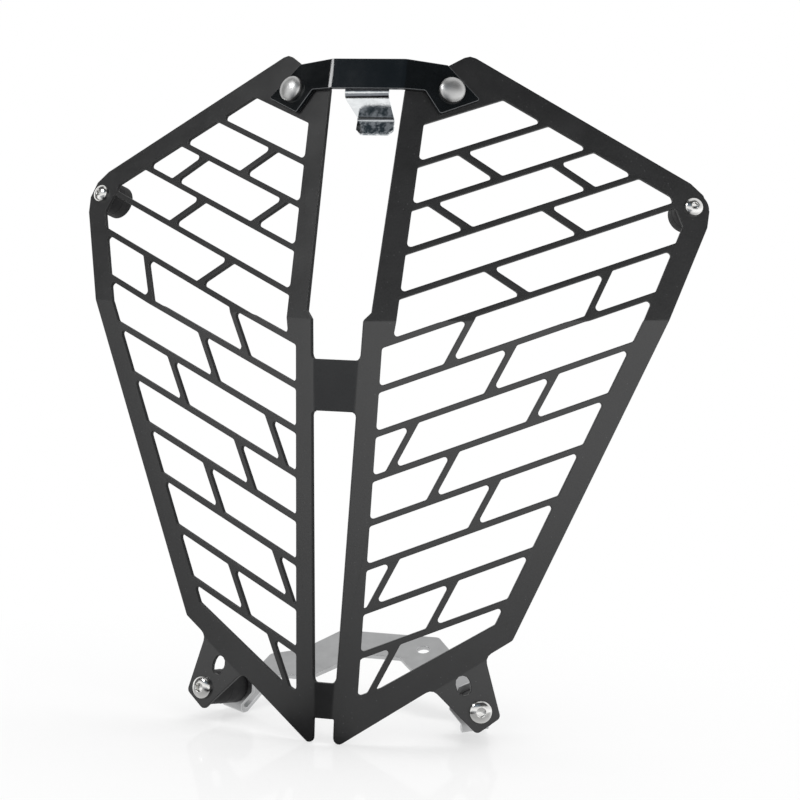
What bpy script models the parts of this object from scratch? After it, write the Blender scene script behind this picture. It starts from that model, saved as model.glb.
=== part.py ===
"""Motorcycle headlight guard: a folded, pierced sheet with its brackets and fixings.

The guard stands on the floor as it would stand on a bench. X runs across it, +Y points
back towards the lamp and +Z is up. The origin is on the floor, on the centre plane, midway
between the front of the grille and the back of the lower bracket.

Every sheet piece is drawn flat, as it is cut, and then bent. Flat outlines are (x, y)
points in the outer face of the sheet, with x from the centre plane and y upwards. The
third sheet coordinate, h, runs from the outer face into the thickness of the metal.
"""

import math

import bmesh
import bpy
from mathutils import Matrix, Vector

MM = 0.001

# Distance from the front face of the grille's centre strip back to the origin
ORIGIN_DEPTH = 64.0 * MM

# Fits
GAP = 0.3 * MM
HOLE_CLEARANCE = 0.4 * MM

# Grille sheet and its folds
SHEET = 2.0 * MM
WING_SWEEP = math.radians(24.5)
WING_FOLD_RADIUS = 4.0 * MM
STRIP_FOLD_INSET = 0.45 * MM
CREASE_ANGLE = math.radians(17.4)
CREASE_RADIUS = 4.0 * MM
CREASE_HEIGHT = 204.6 * MM
CREASE_SLOPE = 0.034
FOOT_TILT = math.radians(-8.0)
FOOT_FOLD_RADIUS = 5.0 * MM
FOOT_FOLD_DROP = 1.0 * MM
FOLD_STEPS = 3

# Centre slot and the two bridges across it
SLOT_FOOT = 4.8 * MM
SLOT_SLOPE = 0.041
UPPER_SLOT_HALF = 17.3 * MM
UPPER_SLOT_SLOPE = 0.16
UPPER_SLOT_BOTTOM = 210.5 * MM
NOTCH_DEPTH = 4.0 * MM
MIDDLE_BRIDGE_TOP = 187.0 * MM
MIDDLE_BRIDGE_HEIGHT = 25.0 * MM
LOWER_BRIDGE_TOP = 30.0 * MM
LOWER_BRIDGE_HEIGHT = 17.5 * MM

# Outline of a wing
LOWER_EDGE_START = 9.2 * MM
LOWER_EDGE_SLOPE = 0.61
OUTER_EDGE_START = 69.7 * MM
OUTER_EDGE_SLOPE = 0.4565
TOP_EDGE_SLOPE = -0.5665
PEAK_X = 69.2 * MM
WING_TOP_HEIGHT = 326.6 * MM
TOP_EDGE_HEIGHT = WING_TOP_HEIGHT + 58.8 * MM
TIP_RADIUS = 2.8 * MM
TIP_INNER_X = 5.6 * MM
OUTER_CORNER_RADIUS = 18.0 * MM
PEAK_RADIUS = 6.0 * MM
EDGE_RADIUS = 2.5 * MM

# Feet
FOOT_INNER_X = 53.6 * MM
FOOT_TOE = (76.0 * MM, 5.2 * MM)
FOOT_HEEL = (87.7 * MM, 13.4 * MM)
FOOT_OUTER_X = 79.6 * MM
FOOT_ROOT_RADIUS = 4.5 * MM
FOOT_SCREW = (77.6 * MM, 16.3 * MM)
FOOT_SLOT_CENTRE = (69.0 * MM, 28.9 * MM)
FOOT_SLOT_WIDTH = 7.0 * MM
FOOT_SLOT_LENGTH = 10.0 * MM
FOOT_SLOT_TURN = math.radians(106.0)

# Window of brick-shaped cells
WINDOW_INNER_X = 16.0 * MM
WINDOW_INNER_SLOPE = 0.035
WINDOW_UPPER_X = -2.2 * MM
WINDOW_UPPER_SLOPE = 0.1527
WINDOW_JOG_HEIGHT = 195.5 * MM
WINDOW_OUTER_START = 57.2 * MM
WINDOW_OUTER_SLOPE = 0.455
WINDOW_TOP_HEIGHT = TOP_EDGE_HEIGHT - 14.1 * MM
WINDOW_TOP_SLOPE = -0.562
WINDOW_BOTTOM_HEIGHT = 11.9 * MM
WINDOW_BOTTOM_SLOPE = 0.56
CORNER_CUT_ANGLE = math.radians(20.0)
CORNER_CUT_DISTANCE = 9.0 * MM
ROW_ANGLE = math.radians(20.3)
ROW_PITCH = 20.0 * MM
ROW_BAR = 2.9 * MM
FIRST_ROW_OFFSET = 273.3 * MM
CELL_RADIUS = 1.6 * MM
UPPER_DIVIDER_ANGLE = math.radians(-33.1)
UPPER_DIVIDER_BAR = 3.4 * MM
LOWER_DIVIDER_ANGLE = math.radians(63.1)
LOWER_DIVIDER_BAR = 2.9 * MM
# Distance of each divider from the origin, measured square to it, by row from the top
UPPER_DIVIDERS = {
    2: (281.0 * MM,),
    3: (249.7 * MM, 303.7 * MM),
    4: (281.0 * MM,),
    5: (237.4 * MM,),
}
LOWER_DIVIDERS = {
    6: (-35.2 * MM, 15.2 * MM),
    7: (-10.6 * MM,),
    8: (-35.2 * MM, 14.7 * MM),
    9: (-10.6 * MM,),
    10: (14.4 * MM,),
    11: (-11.3 * MM,),
    12: (19.8 * MM,),
    13: (9.3 * MM,),
}

# Screws through the grille: where they sit in the flat sheet
CORNER_SCREW = (181.6 * MM, 270.4 * MM)
DOME_BOLT = (PEAK_X - 10.2 * MM, WING_TOP_HEIGHT - 1.1 * MM)

# Top bracket: side plates given from the dome bolt's centre
BRACKET_SHEET = 2.0 * MM
BRACKET_FOLD_HALF = 19.0 * MM
BRACKET_FOLD_RADIUS = 8.0 * MM
# Height of the middle panel's lower edge above the dome bolt's centre
BRACKET_RISE = 0.44 * MM
BRACKET_DEPTH = 16.0 * MM
BRACKET_TOP_CORNER = (-1.8 * MM, 13.5 * MM)
BRACKET_OUTER_CORNER = (14.2 * MM, -4.2 * MM)
BRACKET_LOWER_CORNER = (-6.2 * MM, -12.4 * MM)
BRACKET_NOTCH = (-13.5 * MM, -0.5 * MM)
BRACKET_CORNER_RADIUS = 1.0 * MM

# Hook clip behind the top bracket
CLIP_SHEET = 1.5 * MM
CLIP_HALF_WIDTH = 11.4 * MM
CLIP_LEG = 12.0 * MM
CLIP_LEG_DROP = 0.5 * MM
CLIP_ARM_DIP = math.radians(24.0)
CLIP_ARM = 17.5 * MM
CLIP_ARM_HALF_END = 9.8 * MM
CLIP_FLAP = 7.2 * MM
CLIP_FLAP_CHAMFER = 2.5 * MM
CLIP_LIP_ANGLE = math.radians(-90.0)
CLIP_BEND_RADIUS = 3.5 * MM
CLIP_LIP_RADIUS = 1.5 * MM

# Lower bracket: a sloping plate with two raised ears
PLATE_SHEET = 2.5 * MM
PLATE_PITCH = math.radians(23.5)
PLATE_INNER_RADIUS = 2.0 * MM
# Depth and height of the mounting holes, from the front of the centre strip and the floor
PLATE_HOLE_Y = 116.0 * MM
PLATE_HOLE_Z = 26.8 * MM
PLATE_HOLE_HALF = 21.8 * MM
PLATE_HOLE_DIAMETER = 7.0 * MM
PLATE_BACK_HALF = 27.5 * MM
PLATE_BACK_EDGE = 13.1 * MM
PLATE_SHOULDER_HALF = 43.8 * MM
PLATE_SHOULDER = -8.5 * MM
PLATE_OUTER_HALF = 60.0 * MM
PLATE_OUTER_EDGE = -15.5 * MM
PLATE_NOTCH_HALF = 11.2 * MM
PLATE_NOTCH_EDGE = -9.1 * MM
PLATE_WAIST_HALF = 32.8 * MM
PLATE_WAIST_EDGE = -34.2 * MM
PLATE_ARM_INNER_HALF = 51.0 * MM
PLATE_CORNER_RADIUS = 2.5 * MM
EAR_FOOT_HALF = 7.0 * MM
EAR_HALF = 12.0 * MM

# Fasteners
DOME_HEAD_DIAMETER = 13.2 * MM
DOME_HEAD_HEIGHT = 3.8 * MM
DOME_SHANK = 6.0 * MM
FOOT_HEAD_DIAMETER = 11.4 * MM
FOOT_HEAD_HEIGHT = 3.3 * MM
FOOT_SHANK = 6.0 * MM
FOOT_SOCKET = 4.0 * MM
CORNER_HEAD_DIAMETER = 9.4 * MM
CORNER_HEAD_HEIGHT = 2.8 * MM
CORNER_SHANK = 5.0 * MM
CORNER_SOCKET = 3.0 * MM
SOCKET_DEPTH_SHARE = 0.6
THREAD_PAST_NUT = 2.0 * MM
NUT_WIDTH = 10.0 * MM
NUT_HEIGHT = 5.0 * MM
WASHER_DIAMETER = 12.0 * MM
WASHER_HEIGHT = 1.6 * MM
SPACER_DIAMETER = 17.5 * MM
SPACER_LENGTH = 23.0 * MM
BUFFER_DIAMETER = 18.0 * MM
BUFFER_LENGTH = 13.0 * MM
BUFFER_CHAMFER = 1.2 * MM
INSERT_DIAMETER = 8.0 * MM
INSERT_LENGTH = 8.0 * MM

ROUND_STEPS = 28
ARC_STEP = math.radians(30.0)
# Points closer than this are one point
MERGE_DISTANCE = 0.02 * MM

BLACK_COAT = ("black_coat", (0.030, 0.031, 0.033, 1.0), 0.42, 0.25)
BLACK_GLOSS = ("black_gloss", (0.018, 0.020, 0.022, 1.0), 0.20, 0.30)
ZINC = ("bright_zinc", (0.62, 0.63, 0.63, 1.0), 0.28, 1.0)
STEEL = ("polished_steel", (0.72, 0.72, 0.71, 1.0), 0.18, 1.0)
RUBBER = ("black_rubber", (0.020, 0.020, 0.021, 1.0), 0.75, 0.0)
BRASS = ("brass", (0.72, 0.52, 0.22, 1.0), 0.30, 1.0)


# Scene set-up

def clear_scene():
    """Remove every object, so that the script always starts from nothing."""
    for item in list(bpy.data.objects):
        bpy.data.objects.remove(item, do_unlink=True)


def new_collection(name):
    """Make a collection linked to the scene."""
    collection = bpy.data.collections.new(name)
    bpy.context.scene.collection.children.link(collection)
    return collection


def surface(finish, name):
    """Make the piece's own material from a finish (label, colour, roughness, metallic)."""
    label, colour, roughness, metallic = finish
    material = bpy.data.materials.new(f"{name}_{label}")
    material.use_nodes = True
    shader = material.node_tree.nodes["Principled BSDF"]
    shader.inputs["Base Color"].default_value = colour
    shader.inputs["Roughness"].default_value = roughness
    shader.inputs["Metallic"].default_value = metallic
    material.diffuse_color = colour
    return material


def add_object(name, mesh, collection, finish=None):
    """Link a mesh to a collection as a named object, with its material."""
    item = bpy.data.objects.new(name, mesh)
    collection.objects.link(item)
    if finish is not None:
        mesh.materials.clear()
        mesh.materials.append(surface(finish, name))
    return item


# Flat geometry

def line_at(start, slope, other):
    """Value of a straight edge: start plus slope times the other coordinate."""
    return start + slope * other


def crossing(normal_a, offset_a, normal_b, offset_b):
    """Meeting point of two lines, each given as normal . point = offset."""
    determinant = normal_a.x * normal_b.y - normal_a.y * normal_b.x
    x = (offset_a * normal_b.y - offset_b * normal_a.y) / determinant
    y = (normal_a.x * offset_b - normal_b.x * offset_a) / determinant
    return Vector((x, y))


def edge_in_y(start, slope):
    """Line x = start + slope * y as a unit normal and an offset."""
    scale = 1.0 / math.hypot(1.0, slope)
    return Vector((scale, -slope * scale)), start * scale


def edge_in_x(start, slope):
    """Line y = start + slope * x as a unit normal and an offset."""
    scale = 1.0 / math.hypot(1.0, slope)
    return Vector((-slope * scale, scale)), start * scale


def clip(polygon, normal, offset):
    """Keep the part of a polygon where normal . point is no more than offset."""
    kept = []
    for index, here in enumerate(polygon):
        before = polygon[index - 1]
        side_here = normal.dot(here) - offset
        side_before = normal.dot(before) - offset
        if (side_here > 0.0) != (side_before > 0.0):
            share = side_before / (side_before - side_here)
            kept.append(before.lerp(here, share))
        if side_here <= 0.0:
            kept.append(here.copy())
    return kept


def area(polygon):
    """Signed area of a polygon, positive when it runs anticlockwise."""
    total = 0.0
    for index, here in enumerate(polygon):
        before = polygon[index - 1]
        total += before.x * here.y - here.x * before.y
    return 0.5 * total


def tidy(polygon, shortest=0.02 * MM):
    """Drop points that repeat the one before them."""
    kept = []
    for index, here in enumerate(polygon):
        if (here - polygon[index - 1]).length > shortest:
            kept.append(here)
    return kept


def rounded(points, radius):
    """Round the corners of a closed outline.

    radius is one value for all corners, or a list with one for each. Corners that turn by
    less than 20 degrees are left, because they belong to an arc already.
    """
    radii = radius if isinstance(radius, (list, tuple)) else [radius] * len(points)
    outline = []
    count = len(points)
    for index, corner in enumerate(points):
        before = points[index - 1] - corner
        after = points[(index + 1) % count] - corner
        opening = before.angle(after)
        turn = math.pi - opening
        if radii[index] <= 0.0 or turn < math.radians(20.0):
            outline.append(corner.copy())
            continue
        reach = radii[index] / math.tan(0.5 * opening)
        reach = min(reach, 0.48 * before.length, 0.48 * after.length)
        size = reach * math.tan(0.5 * opening)
        bisector = (before.normalized() + after.normalized()).normalized()
        centre = corner + bisector * (size / math.sin(0.5 * opening))
        first = corner + before.normalized() * reach - centre
        last = corner + after.normalized() * reach - centre
        steps = max(2, math.ceil(turn / ARC_STEP))
        sweep = first.angle_signed(last)
        for step in range(steps + 1):
            spoke = first.copy()
            spoke.rotate(Matrix.Rotation(-sweep * step / steps, 2))
            outline.append(centre + spoke)
    return outline


def circle(centre, diameter, steps=ROUND_STEPS // 2):
    """Round hole as a closed ring of points."""
    ring = []
    for step in range(steps):
        angle = 2.0 * math.pi * step / steps
        offset = Vector((math.cos(angle), math.sin(angle))) * (0.5 * diameter)
        ring.append(Vector(centre) + offset)
    return ring


def slot(centre, width, length, turn, steps=5):
    """Round-ended slot whose long axis is turned from the x axis."""
    ring = []
    straight = 0.5 * (length - width)
    for end, start in ((1.0, -0.5 * math.pi), (-1.0, 0.5 * math.pi)):
        for step in range(steps + 1):
            angle = start + math.pi * step / steps
            point = Vector((end * straight + 0.5 * width * math.cos(angle),
                            0.5 * width * math.sin(angle)))
            point.rotate(Matrix.Rotation(turn, 2))
            ring.append(Vector(centre) + point)
    return ring


# Bending

class Fold:
    """A bend of flat stock along a straight line, with a round of its own radius.

    origin is a point on the line where the round starts, across is the unit vector from
    the flat side to the bent side, and a positive angle bends towards +h.
    """

    def __init__(self, origin, across, angle, radius):
        self.origin = Vector(origin)
        self.across = Vector(across).normalized()
        self.angle = angle
        self.radius = math.copysign(radius, angle)
        self.length = radius * abs(angle)

    def bend(self, point):
        """Move a sheet point (x, y, h) to its place after the bend."""
        reach = (point.xy - self.origin).dot(self.across)
        if reach <= 0.0:
            return point.copy()
        turned = self.angle * min(1.0, reach / self.length)
        straight = max(0.0, reach - self.length)
        lift = point.z
        forward = self.radius * math.sin(turned) + straight * math.cos(turned)
        rise = self.radius * (1.0 - math.cos(turned)) + straight * math.sin(turned)
        forward -= lift * math.sin(turned)
        rise += lift * math.cos(turned)
        flat = point.xy + self.across * (forward - reach)
        return Vector((flat.x, flat.y, rise))

    def cut_lines(self):
        """Points on the lines that divide the round into short flats."""
        for step in range(FOLD_STEPS + 1):
            yield self.origin + self.across * (self.length * step / FOLD_STEPS)


def setback(radius, angle):
    """Distance from the start of a round to the corner that its two flats would make."""
    return radius * math.tan(0.5 * abs(angle))


def apply_folds(point, folds):
    """Carry a sheet point through several folds, in order."""
    for fold in folds:
        point = fold.bend(point)
    return point


def flat_mesh(name, loops):
    """Fill closed outlines, with holes where they nest, as one flat surface."""
    curve = bpy.data.curves.new(f"{name}_flat", "CURVE")
    curve.dimensions = "2D"
    curve.fill_mode = "BOTH"
    for loop in loops:
        spline = curve.splines.new("POLY")
        spline.points.add(len(loop) - 1)
        for knot, point in zip(spline.points, loop):
            knot.co = (point.x, point.y, 0.0, 1.0)
        spline.use_cyclic_u = True
    holder = bpy.data.objects.new(f"{name}_flat", curve)
    bpy.context.scene.collection.objects.link(holder)
    evaluated = holder.evaluated_get(bpy.context.evaluated_depsgraph_get())
    mesh = bpy.data.meshes.new_from_object(evaluated)
    bpy.data.objects.remove(holder, do_unlink=True)
    bpy.data.curves.remove(curve)
    mesh.name = name
    return mesh


def folded_sheet(name, loops, folds, to_world, thickness, finish, collection, halves=True):
    """Cut a sheet, bend it and give it its thickness.

    to_world turns a bent sheet point (x, y, h) into a place in the model. With halves set,
    the outline is one half, open at the centre plane, and is mirrored.
    """
    mesh = flat_mesh(name, loops)
    work = bmesh.new()
    work.from_mesh(mesh)
    bmesh.ops.remove_doubles(work, verts=work.verts, dist=MERGE_DISTANCE)
    for fold in folds:
        for place in fold.cut_lines():
            everything = work.verts[:] + work.edges[:] + work.faces[:]
            bmesh.ops.bisect_plane(work, geom=everything, dist=MERGE_DISTANCE,
                                   plane_co=place.to_3d(), plane_no=fold.across.to_3d())
    bmesh.ops.remove_doubles(work, verts=work.verts, dist=MERGE_DISTANCE)
    base = to_world(Vector((0.0, 0.0, 0.0)))
    axes = [to_world(Vector(unit)) - base for unit in ((1, 0, 0), (0, 1, 0), (0, 0, 1))]
    handedness = axes[0].cross(axes[1]).dot(axes[2])
    for face in work.faces:
        face.normal_update()
        if face.normal.z * handedness > 0.0:
            face.normal_flip()
    for vertex in work.verts:
        vertex.co = to_world(apply_folds(vertex.co, folds))
    work.to_mesh(mesh)
    work.free()
    item = add_object(name, mesh, collection, finish)
    if halves:
        mirror = item.modifiers.new("both_halves", "MIRROR")
        mirror.use_axis = (True, False, False)
        mirror.use_clip = True
        mirror.merge_threshold = 0.01 * MM
    solid = item.modifiers.new("thickness", "SOLIDIFY")
    solid.thickness = thickness
    solid.offset = -1.0
    solid.use_even_offset = True
    return item


# Grille

def grille_folds():
    """The bends of one wing: its foot, the upper crease and the fold to the centre strip."""
    slope = math.atan(LOWER_EDGE_SLOPE)
    down = Vector((math.sin(slope), -math.cos(slope)))
    foot = Fold(Vector((LOWER_EDGE_START, 0.0)) + down * FOOT_FOLD_DROP, down,
                FOOT_TILT, FOOT_FOLD_RADIUS)
    crease = Fold((0.0, CREASE_HEIGHT), (-CREASE_SLOPE, 1.0), CREASE_ANGLE, CREASE_RADIUS)
    length = WING_FOLD_RADIUS * WING_SWEEP
    # The bend ends a little short of the slot's edge, so the two lines never share points
    strip = Fold((SLOT_FOOT - STRIP_FOLD_INSET - length, 0.0), (1.0, -SLOT_SLOPE), WING_SWEEP,
                 WING_FOLD_RADIUS)
    return [foot, crease, strip]


def grille_to_world(point):
    """The front face of the centre strip stands upright, ahead of the origin."""
    return Vector((point.x, point.z - ORIGIN_DEPTH, point.y))


def slot_half(height):
    """Half the width of the lower centre slot at a height."""
    return line_at(SLOT_FOOT, SLOT_SLOPE, height)


def wing_outline():
    """Outline of the right half of the flat blank, anticlockwise from its lower bridge."""
    lower_edge = edge_in_x(-LOWER_EDGE_SLOPE * LOWER_EDGE_START, LOWER_EDGE_SLOPE)
    outer_edge = edge_in_y(OUTER_EDGE_START, OUTER_EDGE_SLOPE)
    top_edge = edge_in_x(TOP_EDGE_HEIGHT, TOP_EDGE_SLOPE)

    def on_lower_edge(x):
        return Vector((x, LOWER_EDGE_SLOPE * (x - LOWER_EDGE_START)))

    lower_bottom = LOWER_BRIDGE_TOP - LOWER_BRIDGE_HEIGHT
    middle_bottom = MIDDLE_BRIDGE_TOP - MIDDLE_BRIDGE_HEIGHT
    notch_half = UPPER_SLOT_HALF - NOTCH_DEPTH
    notch_height = UPPER_SLOT_BOTTOM - NOTCH_DEPTH
    wing_top_half = UPPER_SLOT_HALF + UPPER_SLOT_SLOPE * (WING_TOP_HEIGHT - UPPER_SLOT_BOTTOM)
    corners = [
        (Vector((0.0, lower_bottom)), 0.0),
        (Vector((TIP_INNER_X, lower_bottom)), 1.0 * MM),
        (Vector((TIP_INNER_X, on_lower_edge(TIP_INNER_X).y)), TIP_RADIUS),
        (on_lower_edge(FOOT_INNER_X), FOOT_ROOT_RADIUS),
        (Vector(FOOT_TOE), EDGE_RADIUS),
        (Vector(FOOT_HEEL), EDGE_RADIUS),
        (on_lower_edge(FOOT_OUTER_X), FOOT_ROOT_RADIUS),
        (crossing(*lower_edge, *outer_edge), EDGE_RADIUS),
        (crossing(*outer_edge, *top_edge), OUTER_CORNER_RADIUS),
        (Vector((PEAK_X, line_at(TOP_EDGE_HEIGHT, TOP_EDGE_SLOPE, PEAK_X))), PEAK_RADIUS),
        (Vector((wing_top_half, WING_TOP_HEIGHT)), EDGE_RADIUS),
        (Vector((UPPER_SLOT_HALF, UPPER_SLOT_BOTTOM)), 1.0 * MM),
        (Vector((notch_half, notch_height)), 1.0 * MM),
        (Vector((slot_half(MIDDLE_BRIDGE_TOP), MIDDLE_BRIDGE_TOP)), EDGE_RADIUS),
        (Vector((0.0, MIDDLE_BRIDGE_TOP)), 0.0),
        (Vector((0.0, middle_bottom)), 0.0),
        (Vector((slot_half(middle_bottom), middle_bottom)), EDGE_RADIUS),
        (Vector((slot_half(LOWER_BRIDGE_TOP), LOWER_BRIDGE_TOP)), EDGE_RADIUS),
        (Vector((0.0, LOWER_BRIDGE_TOP)), 0.0),
    ]
    return rounded([corner for corner, _ in corners], [radius for _, radius in corners])


def window_outline():
    """Outline of the area that the cells fill, cut short beside the corner screw."""
    bottom = edge_in_x(WINDOW_BOTTOM_HEIGHT, WINDOW_BOTTOM_SLOPE)
    outer = edge_in_y(WINDOW_OUTER_START, WINDOW_OUTER_SLOPE)
    top = edge_in_x(WINDOW_TOP_HEIGHT, WINDOW_TOP_SLOPE)
    inner = edge_in_y(WINDOW_INNER_X, WINDOW_INNER_SLOPE)
    upper = edge_in_y(WINDOW_UPPER_X, WINDOW_UPPER_SLOPE)
    jog = WINDOW_JOG_HEIGHT
    points = [
        crossing(*inner, *bottom),
        crossing(*bottom, *outer),
        crossing(*outer, *top),
        crossing(*upper, *top),
        Vector((line_at(WINDOW_UPPER_X, WINDOW_UPPER_SLOPE, jog), jog)),
        Vector((line_at(WINDOW_INNER_X, WINDOW_INNER_SLOPE, jog), jog)),
    ]
    corner = Vector((math.cos(CORNER_CUT_ANGLE), math.sin(CORNER_CUT_ANGLE)))
    return clip(points, corner, corner.dot(Vector(CORNER_SCREW)) - CORNER_CUT_DISTANCE)


def cells():
    """Brick-shaped openings of one wing, row by row from the top."""
    window = window_outline()
    row_normal = Vector((-math.sin(ROW_ANGLE), math.cos(ROW_ANGLE)))
    lowest = min(row_normal.dot(point) for point in window)
    openings = []
    row = 1
    top = FIRST_ROW_OFFSET
    while top > lowest:
        band = clip(window, row_normal, top)
        band = clip(band, -row_normal, ROW_PITCH - ROW_BAR - top)
        openings += [cell for cell in split_row(band, row) if area(cell) > 25.0 * MM * MM]
        row += 1
        top -= ROW_PITCH
    return [rounded(tidy(cell), CELL_RADIUS) for cell in openings]


def split_row(band, row):
    """Cut one row at its dividers, from the centre outwards."""
    if row in UPPER_DIVIDERS:
        places, angle, bar = UPPER_DIVIDERS[row], UPPER_DIVIDER_ANGLE, UPPER_DIVIDER_BAR
        normal = Vector((-math.sin(angle), math.cos(angle)))
    else:
        places, angle, bar = LOWER_DIVIDERS.get(row, ()), LOWER_DIVIDER_ANGLE, LOWER_DIVIDER_BAR
        normal = Vector((math.sin(angle), -math.cos(angle)))
    pieces = []
    rest = band
    for place in places:
        pieces.append(clip(rest, normal, place - 0.5 * bar))
        rest = clip(rest, -normal, -place - 0.5 * bar)
    pieces.append(rest)
    return [piece for piece in pieces if len(piece) > 2]


def make_grille(collection):
    """One folded sheet: two pierced wings, two bridges and two feet."""
    loops = [wing_outline()] + cells()
    loops.append(circle(CORNER_SCREW, CORNER_SHANK + 2.0 * HOLE_CLEARANCE))
    loops.append(circle(DOME_BOLT, DOME_SHANK + 2.0 * HOLE_CLEARANCE))
    loops.append(circle(FOOT_SCREW, FOOT_SHANK + 2.0 * HOLE_CLEARANCE))
    loops.append(slot(FOOT_SLOT_CENTRE, FOOT_SLOT_WIDTH, FOOT_SLOT_LENGTH, FOOT_SLOT_TURN))
    return folded_sheet("grille", loops, grille_folds(), grille_to_world, SHEET,
                        BLACK_COAT, collection)


def sheet_frame(place):
    """Frame on the grille's outer face at a flat point: X and Y in the face, Z outwards."""
    folds = grille_folds()
    step = 0.5 * MM

    def at(x, y):
        return grille_to_world(apply_folds(Vector((x, y, 0.0)), folds))

    origin = at(*place)
    across = (at(place[0] + step, place[1]) - origin).normalized()
    upward = (at(place[0], place[1] + step) - origin).normalized()
    outward = across.cross(upward).normalized()
    frame = Matrix((across, outward.cross(across), outward)).transposed().to_4x4()
    frame.translation = origin
    return frame


def mirrored(frame):
    """The same frame on the left wing, still right-handed."""
    flip = Matrix.Diagonal((-1.0, 1.0, 1.0, 1.0))
    other = flip @ frame
    other.col[0] = -other.col[0]
    return other


# Top bracket and hook clip

class PanelFrame:
    """Plane of a bracket's middle panel: X across, up the panel, and h into the metal."""

    def __init__(self, origin, upward):
        self.origin = Vector(origin)
        self.across = Vector((1.0, 0.0, 0.0))
        self.upward = Vector(upward).normalized()
        self.inward = self.upward.cross(self.across).normalized()

    def to_world(self, point):
        """Place of a bent sheet point (x, y, h)."""
        return (self.origin + self.across * point.x + self.upward * point.y
                + self.inward * point.z)

    def shifted(self, depth):
        """The same plane moved into the metal."""
        other = PanelFrame(self.origin + self.inward * depth, self.upward)
        other.inward = self.inward.copy()
        return other


def bracket_panel():
    """Middle panel of the top bracket, and the outer face of its right side plate."""
    bolt = sheet_frame(DOME_BOLT)
    outward = bolt.col[2].to_3d()
    face = bolt.translation + outward * (GAP + BRACKET_SHEET)
    upward = Vector((0.0, -outward.z, outward.y))
    upward *= math.copysign(1.0, upward.z)
    height = bolt.translation.z + BRACKET_RISE
    depth = face.dot(outward) - outward.x * BRACKET_FOLD_HALF - outward.z * height
    origin = Vector((0.0, depth / outward.y, height))
    panel = PanelFrame(origin, upward)
    panel.inward *= math.copysign(1.0, panel.inward.y)
    return panel, face, outward


def bracket_fold(panel, outward):
    """The bend between the middle panel and a side plate."""
    angle = math.acos(max(-1.0, min(1.0, -outward.dot(panel.inward))))
    start = BRACKET_FOLD_HALF - setback(BRACKET_FOLD_RADIUS, angle)
    return Fold((start, 0.0), (1.0, 0.0), angle, BRACKET_FOLD_RADIUS)


def make_top_bracket(collection):
    """Black strip across the top of the slot, bent to lie on both wings."""
    panel, face, outward = bracket_panel()
    fold = bracket_fold(panel, outward)
    bolt = sheet_frame(DOME_BOLT)
    corner = panel.to_world(Vector((BRACKET_FOLD_HALF, 0.0, 0.0)))
    sideways = outward.cross(panel.upward)
    sideways *= math.copysign(1.0, sideways.x)
    gain = fold.length - 2.0 * setback(BRACKET_FOLD_RADIUS, fold.angle)

    def unfolded(offset):
        place = face + bolt.col[0].to_3d() * offset[0] + bolt.col[1].to_3d() * offset[1]
        reach = (place - corner).dot(sideways)
        return Vector((BRACKET_FOLD_HALF + gain + reach, (place - corner).dot(panel.upward)))

    corners = [
        (Vector((0.0, 0.0)), 0.0),
        (Vector((BRACKET_FOLD_HALF + gain, 0.0)), 0.0),
        (unfolded(BRACKET_NOTCH), BRACKET_CORNER_RADIUS),
        (unfolded(BRACKET_LOWER_CORNER), BRACKET_CORNER_RADIUS),
        (unfolded(BRACKET_OUTER_CORNER), BRACKET_CORNER_RADIUS),
        (unfolded(BRACKET_TOP_CORNER), BRACKET_CORNER_RADIUS),
        (Vector((BRACKET_FOLD_HALF + gain, BRACKET_DEPTH)), 0.0),
        (Vector((0.0, BRACKET_DEPTH)), 0.0),
    ]
    outline = rounded([corner for corner, _ in corners], [radius for _, radius in corners])
    hole = circle(unfolded((0.0, 0.0)), DOME_SHANK + 2.0 * HOLE_CLEARANCE)
    return folded_sheet("top_bracket", [outline, hole], [fold], panel.to_world,
                        BRACKET_SHEET, BLACK_GLOSS, collection)


def make_hook_clip(collection):
    """Zinc strip bonded behind the middle panel: a leg, a dipping arm and a short flap."""
    panel, _, _ = bracket_panel()
    leg_plane = panel.shifted(BRACKET_SHEET + GAP)
    lean = math.atan2(panel.upward.y, panel.upward.z)
    first_angle = 0.5 * math.pi + lean - CLIP_ARM_DIP
    first = Fold((0.0, -CLIP_LEG_DROP), (0.0, -1.0), first_angle, CLIP_BEND_RADIUS)
    arm_start = -CLIP_LEG_DROP - first.length
    arm_end = arm_start - CLIP_ARM
    second = Fold((0.0, arm_end), (0.0, -1.0), CLIP_LIP_ANGLE, CLIP_LIP_RADIUS)
    tip = arm_end - second.length - CLIP_FLAP
    half = [
        (Vector((CLIP_ARM_HALF_END - CLIP_FLAP_CHAMFER, tip)), 0.0),
        (Vector((CLIP_ARM_HALF_END, tip + CLIP_FLAP_CHAMFER)), 0.0),
        (Vector((CLIP_ARM_HALF_END, arm_end)), 0.0),
        (Vector((CLIP_HALF_WIDTH, arm_start)), 0.0),
        (Vector((CLIP_HALF_WIDTH, CLIP_LEG)), BRACKET_CORNER_RADIUS),
    ]
    corners = half + [(Vector((-point.x, point.y)), radius) for point, radius in reversed(half)]
    outline = rounded([corner for corner, _ in corners], [radius for _, radius in corners])
    # The second bend is made first here, since it lies farther down the flat strip
    return folded_sheet("hook_clip", [outline], [second, first], leg_plane.to_world,
                        CLIP_SHEET, ZINC, collection, halves=False)


# Lower bracket

def spacer_end():
    """Distance from a foot's outer face to the outer face of the bracket's ear."""
    return SHEET + GAP + SPACER_LENGTH + GAP


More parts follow.
